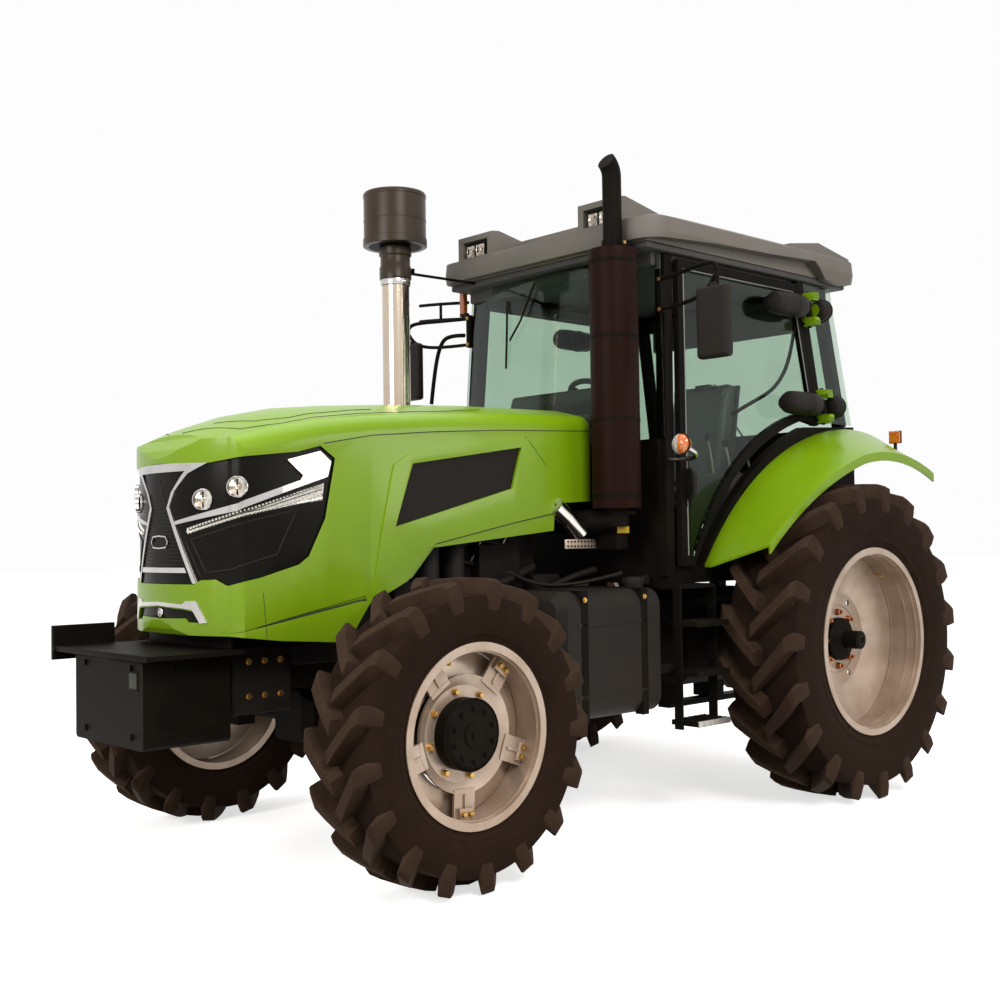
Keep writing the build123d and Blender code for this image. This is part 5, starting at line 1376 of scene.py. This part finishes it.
for y in tank["straps"]:
    near, far = y - tank["strapHalf"], y + tank["strapHalf"]
    shapes += painted("blackPaint", prism([(near, low), (far, low), (far, high), (near, high)], *tank["side"],
                                          0.002),
                      block((0.41, near, 1.188), (0.85, far, 1.1935), 0.002))
    shapes += painted("yellowZinc", bolt((tank["side"][1], y, 1.15), (1, 0, 0), 0.010))
shapes += painted("moulding", upright(tank["cap"], tank["capX"], tank["capY"], 24))
shapes += placed([ring(block(*tank["grip"]), tank["grips"], "moulding")],
                 shift(tank["capX"], tank["capY"], tank["capZ"]) @ turn(-90, "Y"))
shapes += painted("moulding", *[block(*band) for band in tank["bands"]], tube(*tank["hose"]))
shapes += painted("silverPaint", *[block(*latch) for latch in battery["latches"]])
shapes += painted("blackPaint", tube(*battery["handle"]))
build("sideFittings", "root", here(shapes))

# ballast: top and lower edge, the blank plate in its frame, side bar and a row of bolts
ballast = {"bars": [((-0.424, -1.084, 0.978), (0.424, -1.068, 1.0025), 0.003),
                    ((-0.3125, -1.0425, 0.955), (0.3125, -1.034, 0.972), 0.003),
                    ((0.190, -1.0425, 0.850), (0.272, -1.0395, 0.932), 0.002),
                    ((0.3085, -0.98, 0.66), (0.3135, -0.70, 0.676), 0.002)],
           "plate": ((0.200, -1.0445, 0.860), (0.262, -1.030, 0.922), 0.001),
           "bolt": [(0, 0), (0, 0.012), (0.008, 0.011), (0.008, 0)], "firstBolt": (0.31, -0.98, 0.92),
           "bolts": 4, "boltStep": 0.09}
shapes = painted("blackPaint", *[block(*bar) for bar in ballast["bars"]])
shapes += painted("gapShadow", block(*ballast["plate"]))
head = moved(lathe(ballast["bolt"], 6, sharp=0.3), shift(*ballast["firstBolt"]))
shapes.append(row(head, ballast["bolts"], (0, ballast["boltStep"], 0), "blackPaint"))
build("ballastDetail", "root", here(shapes))
print("cab and side fittings made")

# seat: a cushion and a leaning back, each filled by cloth and held within a cap, with seams over them
seat = {"lean": shift(0, 2.90, 1.70) @ turn(-10, "X"), "corner": 0.038, "voxel": 0.006, "quickVoxel": 0.010,
        "pressure": 4, "frames": 20, "seamRadius": 0.0035,
        "base": {"low": (-0.242, 2.450, 1.640), "high": (0.242, 2.885, 1.735), "cap": 0.010},
        "back": {"low": (-0.232, -0.052, 0.03), "high": (0.232, 0.050, 0.712), "cap": 0.012},
        "baseSeams": [[(-0.235, 2.52, 1.742), (0.235, 2.52, 1.742)],
                      [(-0.235, 2.80, 1.742), (0.235, 2.80, 1.742)],
                      [(-0.13, 2.46, 1.742), (-0.13, 2.87, 1.742)], [(0.13, 2.46, 1.742), (0.13, 2.87, 1.742)]],
        "backSeams": [[(-0.22, -0.060, 0.20), (0.22, -0.060, 0.20)],
                      [(-0.22, -0.060, 0.54), (0.22, -0.060, 0.54)],
                      [(-0.12, -0.060, 0.06), (-0.12, -0.060, 0.69)],
                      [(0.12, -0.060, 0.06), (0.12, -0.060, 0.69)]],
        "pan": ((-0.25, 2.44, 1.622), (0.25, 2.90, 1.646), 0.01, 3),
        "shell": ((-0.236, 0.040, 0.02), (0.236, 0.0595, 0.71), 0.012, 3),
        "top": ((-0.06, -0.03, 0.70), (0.06, 0.02, 0.715), 0.004)}


def cushion(pad):
    holder = bpy.data.objects.new("pad", block(pad["low"], pad["high"], seat["corner"], 4))
    bpy.context.scene.collection.objects.link(holder)
    remesh = holder.modifiers.new("remesh", "REMESH")
    remesh.mode = "VOXEL"
    remesh.voxel_size = seat["voxel"]
    holder.data = evaluated(holder)
    holder.modifiers.clear()
    still = [vertex.co.copy() for vertex in holder.data.vertices]
    cloth = holder.modifiers.new("fill", "CLOTH")
    cloth.settings.use_pressure = True
    cloth.settings.uniform_pressure_force = seat["pressure"]
    cloth.settings.effector_weights.gravity = 0
    for step in range(1, seat["frames"] + 1):
        bpy.context.scene.frame_set(step)
    filled = evaluated(holder)
    holder.modifiers.clear()
    for vertex, home in zip(filled.vertices, still):
        travel = vertex.co - home
        if travel.length > pad["cap"]:
            vertex.co = home + travel.normalized() * pad["cap"]
    holder.data = filled
    bpy.context.scene.frame_set(1)
    mesh = holder.data
    bpy.data.objects.remove(holder)
    return shaded(mesh, 1.2)


def padSeams(lines):
    return painted("cabTrim", *[tube(line, seat["seamRadius"], 8, smooth=False) for line in lines])


shapes = painted("seatCloth", cushion(seat["base"])) + padSeams(seat["baseSeams"])
shapes += painted("cabTrim", block(*seat["pan"]))
leaning = painted("seatCloth", cushion(seat["back"])) + padSeams(seat["backSeams"])
leaning += painted("cabTrim", block(*seat["top"]), block(*seat["shell"]))
seatPiece = build("seatCushions", "root", here(shapes + placed(leaning, seat["lean"])))
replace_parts(seatPiece, "seat")
print("seat filled")
